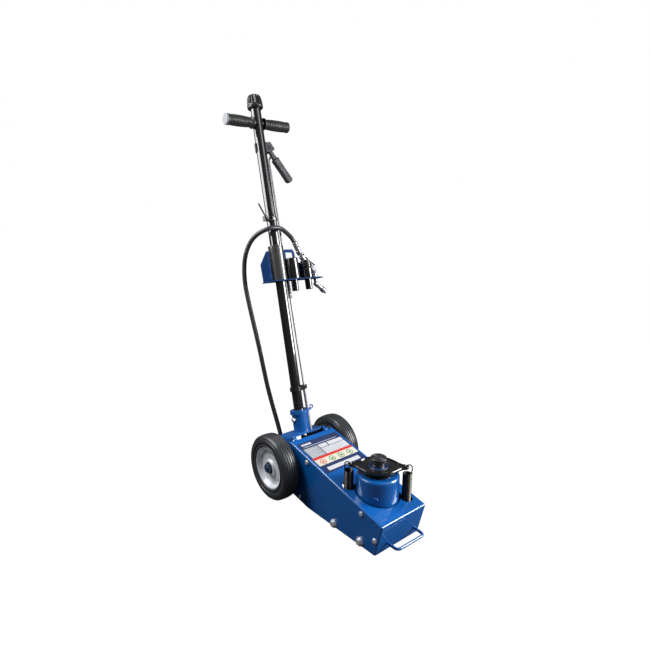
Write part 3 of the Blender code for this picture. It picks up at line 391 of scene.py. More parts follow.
def sweep(points, radius, segments=12, taper=None):
    """A round bar along the points, with no twist. taper gives each point's share of the radius."""
    points = [Vector(point) for point in points]
    shape = bmesh.new()
    rings = []
    side = None
    for index, point in enumerate(points):
        run = points[min(index + 1, len(points) - 1)] - points[max(index - 1, 0)]
        run.normalize()
        if side is None:
            side = run.orthogonal()
        side = (side - run * side.dot(run)).normalized()
        other = run.cross(side)
        reach = radius * (taper[index] if taper else 1)
        angles = [2 * math.pi * step / segments for step in range(segments)]
        ways = [side * math.cos(angle) + other * math.sin(angle) for angle in angles]
        rings.append([shape.verts.new(point + reach * way) for way in ways])
    skin(shape, rings, False, True)
    return shape


def together(*shapes):
    """One bmesh holding all the shapes."""
    whole = bmesh.new()
    for shape in shapes:
        mesh = bpy.data.meshes.new("scratch")
        shape.to_mesh(mesh)
        shape.free()
        whole.from_mesh(mesh)
        bpy.data.meshes.remove(mesh)
    return whole


def moved(shape, matrix):
    bmesh.ops.transform(shape, matrix=matrix, verts=shape.verts)
    return shape


def aimed(shape, start, direction):
    """The shape with its Z axis along direction and its origin at start."""
    turn = Vector(direction).to_track_quat("Z", "Y").to_matrix().to_4x4()
    return moved(shape, Matrix.Translation(Vector(start)) @ turn)


def piece(name, shape, slot, body, replaced=(), finish=None, bevel=0.0, matrix=None, segments=2):
    """A finished object that rides on a body and stands for the replaced CAD nodes."""
    if matrix:
        moved(shape, matrix)
    bmesh.ops.recalc_face_normals(shape, faces=shape.faces)
    mesh = bpy.data.meshes.new(name)
    shape.to_mesh(mesh)
    shape.free()
    mesh.materials.append(finish or FINISHES[slot])
    mesh.shade_smooth()
    mesh.set_sharp_from_angle(angle=math.radians(38))
    obj = bpy.data.objects.new(name, mesh)
    bpy.context.collection.objects.link(obj)
    if bevel:
        soften(obj, bevel, segments)
    if body:
        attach(obj, body)
    if replaced:
        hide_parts(*replaced)
    return obj


def soften(obj, width, segments=2):
    """Rounds the object's sharp edges."""
    bevel = obj.modifiers.new("edges", "BEVEL")
    bevel.width = width
    bevel.segments = segments
    bevel.limit_method = "ANGLE"
    bevel.angle_limit = math.radians(32)
    bevel.use_clamp_overlap = True
    bevel.harden_normals = True


def on_node(name, shape, node, **options):
    """A finished object that stands for one CAD node and has its slot and its body."""
    return piece(name, shape, SLOT_OF[node], BODY_OF[node], (node,), **options)


def on_handle(name, shape, node, **options):
    """The same for a shape drawn in the handle's own frame."""
    return on_node(name, shape, node, matrix=ON_HANDLE, **options)


def handle_extra(name, shape, slot, **options):
    """A piece on the handle that stands for no CAD node of its own."""
    return piece(name, shape, slot, "handle", matrix=ON_HANDLE, **options)


def middle_of(node):
    """The centre and the far corner of a CAD node's box."""
    low, high = (Vector(corner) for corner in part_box(node))
    return (low + high) / 2, high


def direction(azimuth, elevation):
    """The unit vector towards an azimuth from -Y and an elevation, both in radians."""
    level = math.cos(elevation)
    return Vector((math.sin(azimuth) * level, -math.cos(azimuth) * level, math.sin(elevation)))


def smooth_route(points, spacing):
    """Evenly spaced points on the Catmull-Rom curve through the given points."""
    points = [Vector(point) for point in points]
    padded = [2 * points[0] - points[1], *points, 2 * points[-1] - points[-2]]
    fine = []
    for before, here, there, after in zip(padded, padded[1:], padded[2:], padded[3:]):
        for step in range(16):
            t = step / 16
            straight = 2 * here + (there - before) * t
            square = (2 * before - 5 * here + 4 * there - after) * t**2
            cube = (3 * here - before - 3 * there + after) * t**3
            fine.append(0.5 * (straight + square + cube))
    fine.append(points[-1])
    lengths = [0.0]
    for here, there in zip(fine, fine[1:]):
        lengths.append(lengths[-1] + (there - here).length)
    count = round(lengths[-1] / spacing)
    even = []
    index = 0
    for step in range(count + 1):
        wanted = lengths[-1] * step / count
        while index < len(fine) - 2 and lengths[index + 1] < wanted:
            index += 1
        share = (wanted - lengths[index]) / (lengths[index + 1] - lengths[index])
        even.append(fine[index].lerp(fine[index + 1], share))
    return even


def bent(corners, radius, count=8):
    """Points along straight runs whose corners are rounded to the radius."""
    corners = [Vector(corner) for corner in corners]
    points = [corners[0]]
    for before, corner, after in zip(corners, corners[1:], corners[2:]):
        entry = corner + (before - corner).normalized() * radius
        leave = corner + (after - corner).normalized() * radius
        for step in range(count + 1):
            t = step / count
            points.append(entry.lerp(corner, t).lerp(corner.lerp(leave, t), t))
    points.append(corners[-1])
    return points


# Camera


def make_camera():
    azimuth, elevation, roll = (math.radians(a) for a in (CAMERA_AZIMUTH, CAMERA_ELEVATION, CAMERA_ROLL))
    away = direction(azimuth, elevation)
    level = Vector((math.cos(azimuth), math.sin(azimuth), 0))
    upright = away.cross(level)
    right = level * math.cos(roll) + upright * math.sin(roll)
    up = upright * math.cos(roll) - level * math.sin(roll)
    camera = bpy.data.cameras.new("camera")
    camera.sensor_width = 36
    camera.lens = CAMERA_LENS
    camera.clip_start = 0.05
    obj = bpy.data.objects.new("camera", camera)
    bpy.context.collection.objects.link(obj)
    turn = Matrix((right, up, away)).transposed().to_4x4()
    obj.matrix_world = Matrix.Translation(CAMERA_TARGET + away * CAMERA_DISTANCE) @ turn
    bpy.context.scene.camera = obj


# Air line


def make_hose():
    route = [ON_HANDLE @ Vector(point) for point in HOSE_ON_HANDLE] + HOSE_IN_HOUSING
    path = smooth_route(route, 0.006)
    hose = piece("hose", sweep(path, HOSE_RADIUS, 20), "black_rubber", None, finish=HOSE_RUBBER)
    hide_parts("air_hose")
    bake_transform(hose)


def make_ferrule():
    run = FERRULE_FOOT - FERRULE_TOP
    profile = [(0, 0), (0.0080, 0), (0.0088, 0.001), (0.0088, 0.006), (0.0080, 0.0075), (0.0088, 0.009)]
    profile += [(0.0088, 0.015), (0.0080, 0.0165), (0.0088, 0.018), (0.0088, 0.026), (0.0065, 0.0275)]
    profile += [(0.0092, 0.030), (0.0095, 0.032), (0.0095, run.length - 0.005)]
    profile += [(0.006, run.length), (0, run.length)]
    on_handle("ferrule", aimed(lathe(profile, 48), FERRULE_TOP, run), "hose_ferrule")


make_camera()
make_hose()
make_ferrule()


# Wheels


def wheel_matrix(side):
    """From a wheel's own frame, whose Z points outwards, to the jack's."""
    spot = Vector((AXLE.x, side * abs(JOINTS["wheel_left_spin"]["pos_m"][1]), AXLE.z))
    return Matrix.Translation(spot) @ Matrix.Rotation(math.radians(-90 * side), 4, "X")


def tyre_profile():
    """Half of the tyre's section, from the bead to the middle of the tread."""
    side_wall = [(0.0642, 0.0205), (0.0652, 0.0236), (0.0690, 0.0244), (0.0704, 0.0224), (0.0760, 0.0226)]
    side_wall += [(0.0778, 0.0250), (0.0872, 0.0250), (0.0884, 0.0231), (0.0902, 0.0229)]
    side_wall += [(0.0914, 0.0240), (0.0942, 0.0222), (0.0966, 0.0192), (0.0978, 0.0178)]
    tread = []
    for groove in (0.0150, 0.0078):
        crown = 0.0996 - 5 * groove**2
        tread += [(crown, groove + 0.0013), (crown - 0.0022, groove + 0.0007)]
        tread += [(crown - 0.0022, groove - 0.0007), (crown, groove - 0.0013)]
    return [*side_wall, *tread, (0.0996, 0.0013), (0.0974, 0.0007)]


def make_wheel(side_name, side):
    place = wheel_matrix(side)
    half = tyre_profile()
    section = rounded([*half, *[(radius, -height) for radius, height in reversed(half)]], 0.0007, 3)
    on_node(f"solid_tyre_{side_name}", lathe(section, 128), f"tyre_{side_name}", matrix=place)

    outer = [(0.0173, BEARING_HALF), (0.0205, BEARING_HALF), (0.0222, 0.0160), (0.0232, 0.0125)]
    outer += [(0.0258, 0.0100), (0.0300, 0.0094), (0.0330, 0.0102), (0.0420, 0.0092), (0.0475, 0.0072)]
    outer += [(0.0505, 0.0078), (0.0545, 0.0115), (0.0576, 0.0185), (0.0606, 0.0217), (0.0634, 0.0217)]
    outer += [(0.0639, 0.0205)]
    inner = [(0.0639, -0.0205), (0.0634, -0.0217), (0.0606, -0.0217), (0.0540, 0.0010), (0.0500, 0.0030)]
    inner += [(0.0258, 0.0050), (0.0215, 0.0020), (0.0205, -BEARING_HALF), (0.0173, -BEARING_HALF)]
    rim = lathe(closed_rounded([*outer, *inner], 0.0015), 96)
    on_node(f"dished_rim_{side_name}", rim, f"rim_{side_name}", matrix=place, finish=RIM_SILVER)


for side_label, sign in SIDES:
    make_wheel(side_label, sign)


# Housing


def top_point(x, y, lift):
    """A point on the sloping top cover, raised off it."""
    normal = Vector((TOP_SLOPE, 0, 1)).normalized()
    return Vector((x, y, TOP_HEIGHT - TOP_SLOPE * x)) + normal * lift


def top_z(x, inset=0.0):
    return TOP_HEIGHT - TOP_SLOPE * x - inset * math.hypot(1, TOP_SLOPE)


def nose_x(z, inset=0.0):
    return NOSE_BOTTOM_X + NOSE_RAKE * (z - FLOOR_CLEARANCE) - inset * math.hypot(1, NOSE_RAKE)


def nose_corner(inset=0.0):
    """Where the top and the sloping front meet, as (x, z), at a depth below both surfaces."""
    x = (nose_x(0, inset) + NOSE_RAKE * top_z(0, inset)) / (1 + NOSE_RAKE * TOP_SLOPE)
    return x, top_z(x, inset)


# The cover is drawn flat, at u along it and v across it, and then folded.
COVER_SHEET, FOLD_RADIUS, EDGE_RADIUS = 0.0026, 0.0050, 0.0034
REAR = Vector((TOP_REAR_X, top_z(TOP_REAR_X)))
CORNER = Vector(nose_corner())
FOOT = Vector((NOSE_BOTTOM_X, FLOOR_CLEARANCE))
TOP_RUN, NOSE_RUN = (CORNER - REAR).normalized(), (FOOT - CORNER).normalized()
TOP_NORMAL = Vector((-TOP_RUN.y, TOP_RUN.x))
FOLD_ANGLE = TOP_RUN.angle(NOSE_RUN)
FOLD_TRIM = FOLD_RADIUS * math.tan(FOLD_ANGLE / 2)
FOLD_START = (CORNER - REAR).length - FOLD_TRIM
FOLD_END = FOLD_START + FOLD_RADIUS * FOLD_ANGLE
COVER_LENGTH = FOLD_END + (FOOT - CORNER).length - FOLD_TRIM


def folded(u, v, depth):
    """Where a point of the flat cover goes. depth is below the outer face, and the long edges roll down."""
    turn = FOLD_ANGLE * min(max((u - FOLD_START) / (FOLD_END - FOLD_START), 0), 1)
    normal = TOP_NORMAL * math.cos(turn) + TOP_RUN * math.sin(turn)
    point = REAR + TOP_RUN * min(u, FOLD_START) + (normal - TOP_NORMAL) * FOLD_RADIUS
    point += NOSE_RUN * max(u - FOLD_END, 0)
    flat = HALF_WIDTH - EDGE_RADIUS
    roll = max(abs(v) - flat, 0) / EDGE_RADIUS
    reach = min(abs(v), flat) + (EDGE_RADIUS - depth) * math.sin(roll)
    point -= normal * (EDGE_RADIUS - (EDGE_RADIUS - depth) * math.cos(roll))
    return Vector((point.x, math.copysign(reach, v), point.y))


def cover_cutout():
    """The clearance round the tank and its two springs, seen from above."""
    apart = SPRING_OFFSET * math.sqrt(2)
    reach = (CUTOUT_RADIUS**2 + apart**2 - SPRING_CUTOUT**2) / (2 * CUTOUT_RADIUS * apart)
    meet = math.degrees(math.acos(reach))
    rise = CUTOUT_RADIUS * math.sin(math.radians(meet))
    swing = 180 - math.degrees(math.asin(rise / SPRING_CUTOUT))
    outline = []
    for turn in (45, 225):
        x, y = apart * math.cos(math.radians(turn)), apart * math.sin(math.radians(turn))
        outline += arc(0, 0, CUTOUT_RADIUS, turn - 180 + meet, turn - meet, 36)
        outline += arc(x, y, SPRING_CUTOUT, turn - swing, turn + swing, 24)
    return outline


def make_top_cover():
    stretch = math.hypot(1, TOP_SLOPE)
    half = HALF_WIDTH - EDGE_RADIUS + EDGE_RADIUS * math.pi / 2
    outline = rectangle(0, -half, COVER_LENGTH, half)
    hole = [((x - TOP_REAR_X) * stretch, y) for x, y in cover_cutout()]
    shape = slab(outline, 0, COVER_SHEET, holes=[hole])
    creases = [((FOLD_START + (FOLD_END - FOLD_START) * step / 8, 0, 0), (1, 0, 0)) for step in range(9)]
    for _, side in SIDES:
        for step in range(6):
            v = HALF_WIDTH - EDGE_RADIUS + EDGE_RADIUS * math.pi / 2 * step / 6
            creases.append(((0, side * v, 0), (0, 1, 0)))
    for spot, normal in creases:
        whole = [*shape.verts, *shape.edges, *shape.faces]
        bmesh.ops.bisect_plane(shape, geom=whole, dist=1e-6, plane_co=spot, plane_no=normal)
    for vertex in shape.verts:
        vertex.co = folded(*vertex.co)
    on_node("folded_cover", shape, "top_cover", bevel=0.0005)


def make_side_plates():
    """The two cheeks, each with a narrow relief slot near the nose."""
    inset, slot_x, slot_width, slot_depth = SHEET + GAP, 0.0650, 0.0014, 0.0105
    rear_x = TOP_REAR_X - 0.009
    outline = [
        (nose_x(FLOOR_CLEARANCE, inset), FLOOR_CLEARANCE),
        nose_corner(inset),
        (slot_x + slot_width, top_z(slot_x + slot_width, inset)),
        (slot_x + slot_width, top_z(slot_x, inset) - slot_depth),
        (slot_x, top_z(slot_x, inset) - slot_depth),
        (slot_x, top_z(slot_x, inset)),
        (rear_x, top_z(rear_x, inset)),
        (rear_x - 0.012, top_z(rear_x, inset) - 0.006),
        *arc(AXLE.x, AXLE.z, 0.038, 140, 250, 24),
        (-0.269, 0.0155),
        (-0.196, FLOOR_CLEARANCE),
    ]
    for side_name, side in SIDES:
        low, high = sorted((side * HALF_WIDTH, side * (HALF_WIDTH - SIDE_PLATE)))
        node = f"side_plate_{side_name}"
        on_node(f"cheek_{side_name}", slab(outline, low, high, "Y"), node, bevel=0.0007)


LABEL_BANDS = [
    ("navy", -0.262, -0.120, -0.076, 0.076, 0),
    ("white", -0.2545, -0.2475, -0.066, -0.030, 1),
    ("grey", -0.2420, -0.2385, -0.066, 0.060, 1),
    ("grey", -0.2335, -0.1890, -0.072, -0.020, 1),
    ("white", -0.2335, -0.2190, -0.018, 0.012, 1),
    ("white", -0.2170, -0.1890, -0.018, 0.072, 1),
    ("white", -0.2335, -0.2190, 0.016, 0.072, 1),
    ("red", -0.1885, -0.1790, -0.074, 0.074, 1),
    ("cream", -0.1790, -0.1530, -0.074, 0.074, 1),
    ("white", -0.1410, -0.1270, -0.060, 0.060, 1),
]
LABEL_FILM = 0.00012


def make_label():
    """A plain panel of coloured bands with four ringed dots. It holds no lettering."""
    inks = list(INKS)
    layers = []
    for ink, x0, x1, y0, y1, layer in LABEL_BANDS:
        layers.append((ink, rectangle(x0, y0, x1, y1), layer))
    for line in range(9):
        x = -0.2310 + line * 0.0047
        reach = -0.026 - 0.012 * ((line * 5) % 3 == 0)
        layers.append(("white", rectangle(x, -0.069, x + 0.0013, reach), 2))
    for line in range(5):
        x = -0.2145 + line * 0.0052
        reach = 0.066 - 0.016 * (line % 2)
        layers.append(("grey", rectangle(x, -0.014, x + 0.0012, reach), 2))
    for index, y in enumerate((-0.052, -0.018, 0.016, 0.050)):
        ink = "orange" if index == 0 else "green"
        layers.append((ink, circle(-0.1655, y, 0.0105), 2))
        layers.append(("cream", circle(-0.1655, y, 0.0080), 3))
        layers.append((ink, circle(-0.1650, y, 0.0048, 5), 4))
    shape = bmesh.new()
    for ink, outline, layer in layers:
        low, high = GAP / 3 + LABEL_FILM * layer, GAP / 3 + LABEL_FILM * (layer + 0.9)
        base = [shape.verts.new(top_point(*point, low)) for point in outline]
        lid = [shape.verts.new(top_point(*point, high)) for point in outline]
        faces = [shape.faces.new(base), shape.faces.new(lid)]
        for step in range(len(outline)):
            turn = (step + 1) % len(outline)
            faces.append(shape.faces.new((base[step], base[turn], lid[turn], lid[step])))
        for face in faces:
            face.material_index = inks.index(ink)
    label = piece("top_label", shape, "blue_paint", "chassis", finish=INKS[inks[0]])
    for ink in inks[1:]:
        label.data.materials.append(INKS[ink])


def hex_bolt(radius, washer, outer):
    """A through bolt's head with its washer, along Z from the plate's face."""
    disc = lathe([(0, 0), (washer, 0), (washer, 0.0018), (washer - 0.0006, 0.0023), (0, 0.0023)], 40)
    head = slab(circle(0, 0, radius, 6), 0.0023, 0.0070)
    crown = [(0, 0.0060), (radius * 0.86, 0.0060), (radius * 0.84, 0.0074)]
    crown += [(radius * 0.72, 0.0084), (0, 0.0086)]
    return [moved(shape, Matrix.Translation((0, 0, outer))) for shape in (disc, head, lathe(crown, 40))]


def make_fasteners():
    for node in ("base_bolt_rear", "base_bolt_front"):
        centre, high = middle_of(node)
        reach = high.y - 0.0092
        shank = reach + 0.0005
        shapes = [aimed(rod(0.006, -shank, shank, 24), centre, (0, 1, 0))]
        for _, side in SIDES:
            shapes += [aimed(part, centre, (0, side, 0)) for part in hex_bolt(0.0100, 0.0125, reach)]
        on_node(f"{node}_detail", together(*shapes), node, bevel=0.0005)
    for node in ("nose_tie_rod", "rear_top_tie_rod", "rear_low_tie_rod"):
        centre, high = middle_of(node)
        head = high.x - centre.x
        face = high.y - 0.004
        angles = [math.radians(15 * step) for step in range(6)]
        dome = [(head * math.cos(angle), face + 0.0039 * math.sin(angle)) for angle in angles]
        dome = [(head, face), *dome, (0.0028, high.y), (0.0022, high.y - 0.0018), (0, high.y - 0.0018)]
        core = head - 0.003
        half = [(core, 0), (core, face), *dome]
        profile = [*[(radius, -height) for radius, height in reversed(half[1:])], *half[1:]]
        on_node(f"{node}_detail", aimed(lathe(profile, 40), centre, (0, 1, 0)), node)


def make_tow_handle():
    corners = [(0.0745, -0.045, 0.0283), (0.118, -0.045, 0.0262)]
    corners += [(0.118, 0.058, 0.0242), (0.0745, 0.058, 0.0283)]
    on_node("tow_bar", sweep(bent(corners, 0.013), 0.004, 20), "tow_handle")


make_top_cover()
make_side_plates()
make_label()
make_fasteners()
make_tow_handle()


# Bottle jack


def make_tank():
    wall = 0.004
    shoulder = [(0.0085, 0), (0.0030, 0.0018), (0.0008, 0.0052), (0, 0.0095)]
    foot = [(0, 0.046), (0.0010, 0.0450), (0.0010, 0.0430), (0, 0.0420), (0, 0.0303), (wall, 0.0303)]
    outline = [(0.0365, TANK_TOP - wall), (0.0365, TANK_TOP)]
    outline += [(TANK_RADIUS - inset, TANK_TOP - drop) for inset, drop in shoulder]
    outline += [(TANK_RADIUS - inset, height) for inset, height in foot]
    outline.append((TANK_RADIUS - wall, TANK_TOP - wall - 0.004))
    on_node("oil_tank", lathe(closed_rounded(outline, 0.0008, 2), 96), "reservoir_tank")
    nut = [(RAM_RADIUS + GAP, 0.1718), (0.034, 0.1718), (0.034, TANK_TOP + GAP), (0.0395, TANK_TOP + GAP)]
    nut += [(0.0395, 0.1752), (0.0345, 0.1768), (0.0320, 0.1800), (0.0290, 0.1815)]
    nut += [(RAM_RADIUS + 0.002, 0.1815), (RAM_RADIUS + GAP, 0.1800)]
    on_node("gland_nut", lathe(closed_rounded(nut, 0.0006, 2), 96), "tank_nut")


def make_saddle():
    top = [(0.0205, RAM_TOP + GAP), (0.0223, RAM_TOP + 0.002), (0.0223, SADDLE_TOP - 0.0016)]
    rings = [(0.0209, SADDLE_TOP)]
    for radius in (0.0178, 0.0128, 0.0078):
        rings += [(radius, SADDLE_TOP), (radius - 0.0006, SADDLE_TOP - 0.0008)]
        rings += [(radius - 0.0014, SADDLE_TOP - 0.0008), (radius - 0.0020, SADDLE_TOP)]
    profile = [(0, 0.172), (0.010, 0.172), (0.010, RAM_TOP + GAP), *top, *rings, (0, SADDLE_TOP)]
    on_node("ringed_saddle", lathe(profile, 72), "saddle", finish=MATTE_BLACK)


def plate_outline(count):
    """The return plate seen from above, along X: a lens with a narrow rounded ear at each end."""
    tip, ear = EAR_REACH + 0.008, 0.0088
    outline = []
    for step in range(count):
        angle = 2 * math.pi * step / count
        x = tip * math.cos(angle)
        swell = 0.5 + 0.5 * math.cos(math.pi * min(abs(x) / EAR_REACH, 1) ** 1.5)
        width = ear + 0.0392 * swell
        beyond = abs(x) - (tip - ear)
        if beyond > 0:
            width = min(width, math.sqrt(max(ear**2 - beyond**2, 0)))
        outline.append(Vector((x, math.copysign(width, math.sin(angle)), 0)))
    return outline


def make_return_plate():
    """A thick cast lens with a raised rim, a sunk middle, a bowl under it and a blue collar in it."""
    bore, middle = RAM_RADIUS + GAP, PLATE_HIGH - 0.0032
    bowl = [(bore, 0.0062), (0.0300, 0.0062), (0.0350, 0.0048), (0.0410, 0.0020), (0.0440, 0.0002)]
    rim = [(0.945, PLATE_LOW), (0.980, PLATE_LOW + 0.0010), (1.000, PLATE_LOW + 0.0032)]
    rim += [(1.000, PLATE_HIGH - 0.0032), (0.992, PLATE_HIGH - 0.0014), (0.972, PLATE_HIGH - 0.0002)]
    rim += [(0.950, PLATE_HIGH), (0.925, PLATE_HIGH - 0.0006), (0.900, middle), (0.870, middle - 0.0004)]
    dish = [(0.0320, 0), (0.0300, 0.0010), (0.0285, 0.0006), (0.0278, -0.0020), (bore, -0.0020)]
    lens = plate_outline(144)
    disc = [point.normalized() for point in lens]
    levels = [(disc, radius, PLATE_LOW - drop) for radius, drop in bowl]
    levels += [(lens, share, height) for share, height in rim]
    levels += [(disc, radius, middle + rise) for radius, rise in dish]
    shape = bmesh.new()
    rings = []
    for outline, size, height in levels:
        rings.append([shape.verts.new(point * size + Vector((0, 0, height))) for point in outline])
    skin(shape, rings, True, False)
    turn = Matrix.Rotation(math.radians(45), 4, "Z")
    on_node("cast_return_plate", shape, "return_plate", matrix=turn)
    collar = [(bore + 0.0004, middle - 0.0019), (0.0272, middle - 0.0019), (0.0272, middle + 0.0012)]
    collar += [(0.0255, middle + 0.0020), (bore + 0.0004, middle + 0.0020)]
    collar = lathe(closed_rounded(collar, 0.0006, 2), 72)
    # The collar's darker blue is painted shade for its place in the plate's sunk middle.
    piece("ram_collar", collar, "blue_paint", "ram", finish=SHADED_BLUE)


def make_spring(name, side):
    """A close-wound extension spring with a hook at each end."""
    wire, turns = 0.0016, 39
    coil_radius = SPRING_RADIUS - wire
    spot = Vector((side * SPRING_OFFSET, side * SPRING_OFFSET, 0))
    outward = Vector((side, side, 0)).normalized()
    across = Vector((-outward.y, outward.x, 0))
    points = [spot + Vector((0, 0, 0.0368)), spot + Vector((0, 0, 0.0425))]
    steps = turns * 20
    for step in range(steps + 1):
        angle = 2 * math.pi * step / 20
        height = SPRING_LOW + wire + (SPRING_HIGH - SPRING_LOW - 2 * wire) * step / steps
        flat = outward * math.cos(angle) + across * math.sin(angle)
        points.append(spot + flat * coil_radius + Vector((0, 0, height)))
    hook = [(0.0112, 0.003), (0.0120, 0.010), (0.0112, 0.0175), (0.0075, 0.0215), (0.0020, 0.0215)]
    hook += [(-0.0028, 0.0190), (-0.0036, 0.0150)]
    points += [spot + outward * off + Vector((0, 0, SPRING_HIGH + rise)) for off, rise in hook]
    spring = piece(f"{name}_coil", sweep(points, wire, 8), "black_paint", None, finish=SPRING_STEEL)
    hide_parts(name)
    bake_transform(spring)


make_tank()
make_saddle()
make_return_plate()
make_spring("return_spring_rear", -1)
make_spring("return_spring_front", 1)


# Handle


def make_yoke_details():
    """The yoke's two horns, which close the slot behind the cover, and the hook on the socket's rim."""
    side_view = [(0.028, 0.0788), (0.035, 0.0792), (0.0512, 0.0716)]
    side_view += [(0.0500, 0.0655), (0.034, 0.0732), (0.028, 0.0732)]
    horns = [slab(side_view, low, high, "Y") for low, high in ((-0.066, -0.0545), (0.0545, 0.066))]
    handle_extra("yoke_horns", together(*horns), "blue_paint", bevel=0.0018, segments=3)
    curl = [(0, y, s) for y, s in [(0.0462, 0.1385), *arc(0.0490, 0.1440, 0.0055, -90, 160, 12)]]
    handle_extra("curled_hook", sweep(curl, 0.0023, 12), "blue_paint")


def make_knob():
    """The release knob: deep flutes round a tapered skirt, with a shallow dome on top."""
    bore, flutes = TUBE_RADIUS + GAP, 15
    collar = [(bore, 0), (0.0215, 0), (0.0236, 0.0020), (0.0244, 0.0050), (0.0244, 0.0105), (0.0234, 0.0120)]
    skirt = [(0.0242, 0.0135), (0.0238, 0.0200), (0.0222, 0.0290)]
    shoulder = [(0.0204, 0.0060), (0.0185, 0.0030), (0.0160, 0.0014)]
    crown = [(0.0120, 0.0004), (0.0063, 0), (0.0063, 0.0300), (bore, 0.0300)]
    profile = [(radius, KNOB_FOOT + rise) for radius, rise in collar + skirt]
    profile += [(radius, KNOB_TOP - drop) for radius, drop in shoulder + crown]
    fluted = range(len(collar), len(collar) + len(skirt) + len(shoulder))
    on_handle("fluted_knob", lathe(profile, flutes * 14, flutes, 0.0032, fluted), "release_knob")


def make_bar_cap():
    """The bright cap over the cross bar's right end."""
    base = T_BAR_REACH - 0.0006
    profile = [(0, base + 0.0043), (0.0151, base + 0.0043), (0.0166, base + 0.0028), (0.0166, base)]
    profile += [(0.0169, base), (0.0169, base + 0.0030), (0.0148, base + 0.0050), (0, base + 0.0052)]
    cap = aimed(lathe(profile, 48), (0, 0, T_BAR_S), (0, -1, 0))
    handle_extra("bar_cap", cap, "chrome_plate", finish=POLISHED)


def make_grips():
    for side_name, side in SIDES:
        end = T_BAR_REACH - 0.001 if side < 0 else T_BAR_REACH + 0.003
        profile = [(T_BAR_RADIUS + GAP, 0.0195), (0.0178, 0.0195), (0.0185, 0.0203)]
        profile += [(0.0185, 0.0222), (0.0175, 0.0232), (0.0142, 0.0250)]
        first, last, ribs = 0.0260, end - 0.0075, 13
        width = (last - first) / ribs
        for rib in range(ribs):
            share = (rib + 0.5) / ribs
            middle = first + width * (rib + 0.5)
            swell = 0.0146 + 0.0014 * share + 0.0016 * math.sin(math.pi * share)
            profile += [(swell - 0.0007, middle - width * 0.46), (swell, middle - width * 0.28)]
            profile += [(swell, middle + width * 0.28), (swell - 0.0007, middle + width * 0.46)]
        profile += [(0.0155, end - 0.0065), (0.0168, end - 0.0045), (0.0170, end - 0.003), (0.0165, end)]
        profile.append((T_BAR_RADIUS + GAP, end))
        shape = aimed(lathe(profile, 64), (0, 0, T_BAR_S), (0, side, 0))
        on_handle(f"ribbed_grip_{side_name}", shape, f"grip_{side_name}")


def lever_view(points):
    """Points given along the lever and off it, from its pivot, as (Y, S) points of the handle."""
    run = (LEVER_END - LEVER_PIVOT).normalized()
    across = Vector((0, -run.z, run.y))
    return [tuple((LEVER_PIVOT + run * along + across * off).yz) for along, off in points]


def make_lock_lever():
    """A pressed channel bar with a thick moulded grip that has a raised collar and a lip at its end."""
    bar = [*arc(0, 0, 0.0045, 115, 245), (0.034, -0.0075), (0.044, -0.0095)]
    bar += [(0.044, 0.0085), (0.030, 0.0060)]
    hole = circle(LEVER_PIVOT.y, LEVER_PIVOT.z, 0.0033, 20)
    bar = slab(lever_view(bar), -0.0055, 0.0055, "X", [hole])
    grip = [(0.037, -0.0125), (0.041, -0.0130), (0.044, -0.0118), (0.080, -0.0110), (0.114, -0.0112)]
    grip += [(0.120, -0.0085), (0.1235, 0.000), (0.1205, 0.0105), (0.116, 0.0118), (0.046, 0.0100)]
    grip += [(0.042, 0.0118), (0.037, 0.0112)]
    on_handle("squeeze_lever", bar, "lock_lever", bevel=0.0012, finish=LEVER_GREY)
    grip = slab(lever_view(grip), -0.0090, 0.0090, "X")
    look = {"finish": LEVER_GREY, "bevel": 0.0042, "matrix": ON_HANDLE}
    piece("lever_grip", grip, "black_paint", BODY_OF["lock_lever"], **look)


def make_lever_bracket():
    """A saddle on the tube's back, and beside the tube a slanted channel with the lever's pivot bolt."""
    inner, outer = TUBE_RADIUS + GAP, TUBE_RADIUS + 0.0036
    saddle = [*arc(0, 0, outer, 88, 272, 24), *arc(0, 0, inner, 272, 88, 24)]
    arm = [*arc(0, 0, inner, 48, 128, 12), (-0.0092, 0.0200), (0.0092, 0.0200)]
    shapes = [slab(saddle, 0.960, 0.986), slab(arm, 0.9585, 0.9890)]
    slope = lever_view([(0.013, -0.006), (0.013, 0.015), (-0.014, 0.015)])
    cheek = [(0.0172, 0.9592), *slope, (0.0172, 0.9882)]
    for _, side in SIDES:
        near, far = sorted((side * 0.0070, side * 0.0095))
        shapes.append(slab(cheek, near, far, "X"))
        bolt = lathe([(0, 0.0090), (0.0055, 0.0090), (0.0055, 0.0112), (0.0040, 0.0126), (0, 0.0128)], 24)
        shapes.append(aimed(bolt, LEVER_PIVOT, (side, 0, 0)))
    web = lever_view([(-0.0138, 0.0128), (0.0128, 0.0128), (0.0128, 0.0149), (-0.0138, 0.0149)])
    shapes.append(slab(web, -0.0090, 0.0090, "X"))
    shapes.append(aimed(rod(0.0030, -0.0092, 0.0092, 20), LEVER_PIVOT, (1, 0, 0)))
    on_handle("lever_channel", together(*shapes), "lever_bracket", bevel=0.0009, finish=LEVER_GREY)


def lock_rod_at(height):
    share = (height - LOCK_ROD_FOOT.z) / (LOCK_ROD_TOP.z - LOCK_ROD_FOOT.z)
    return LOCK_ROD_FOOT.lerp(LOCK_ROD_TOP, share)


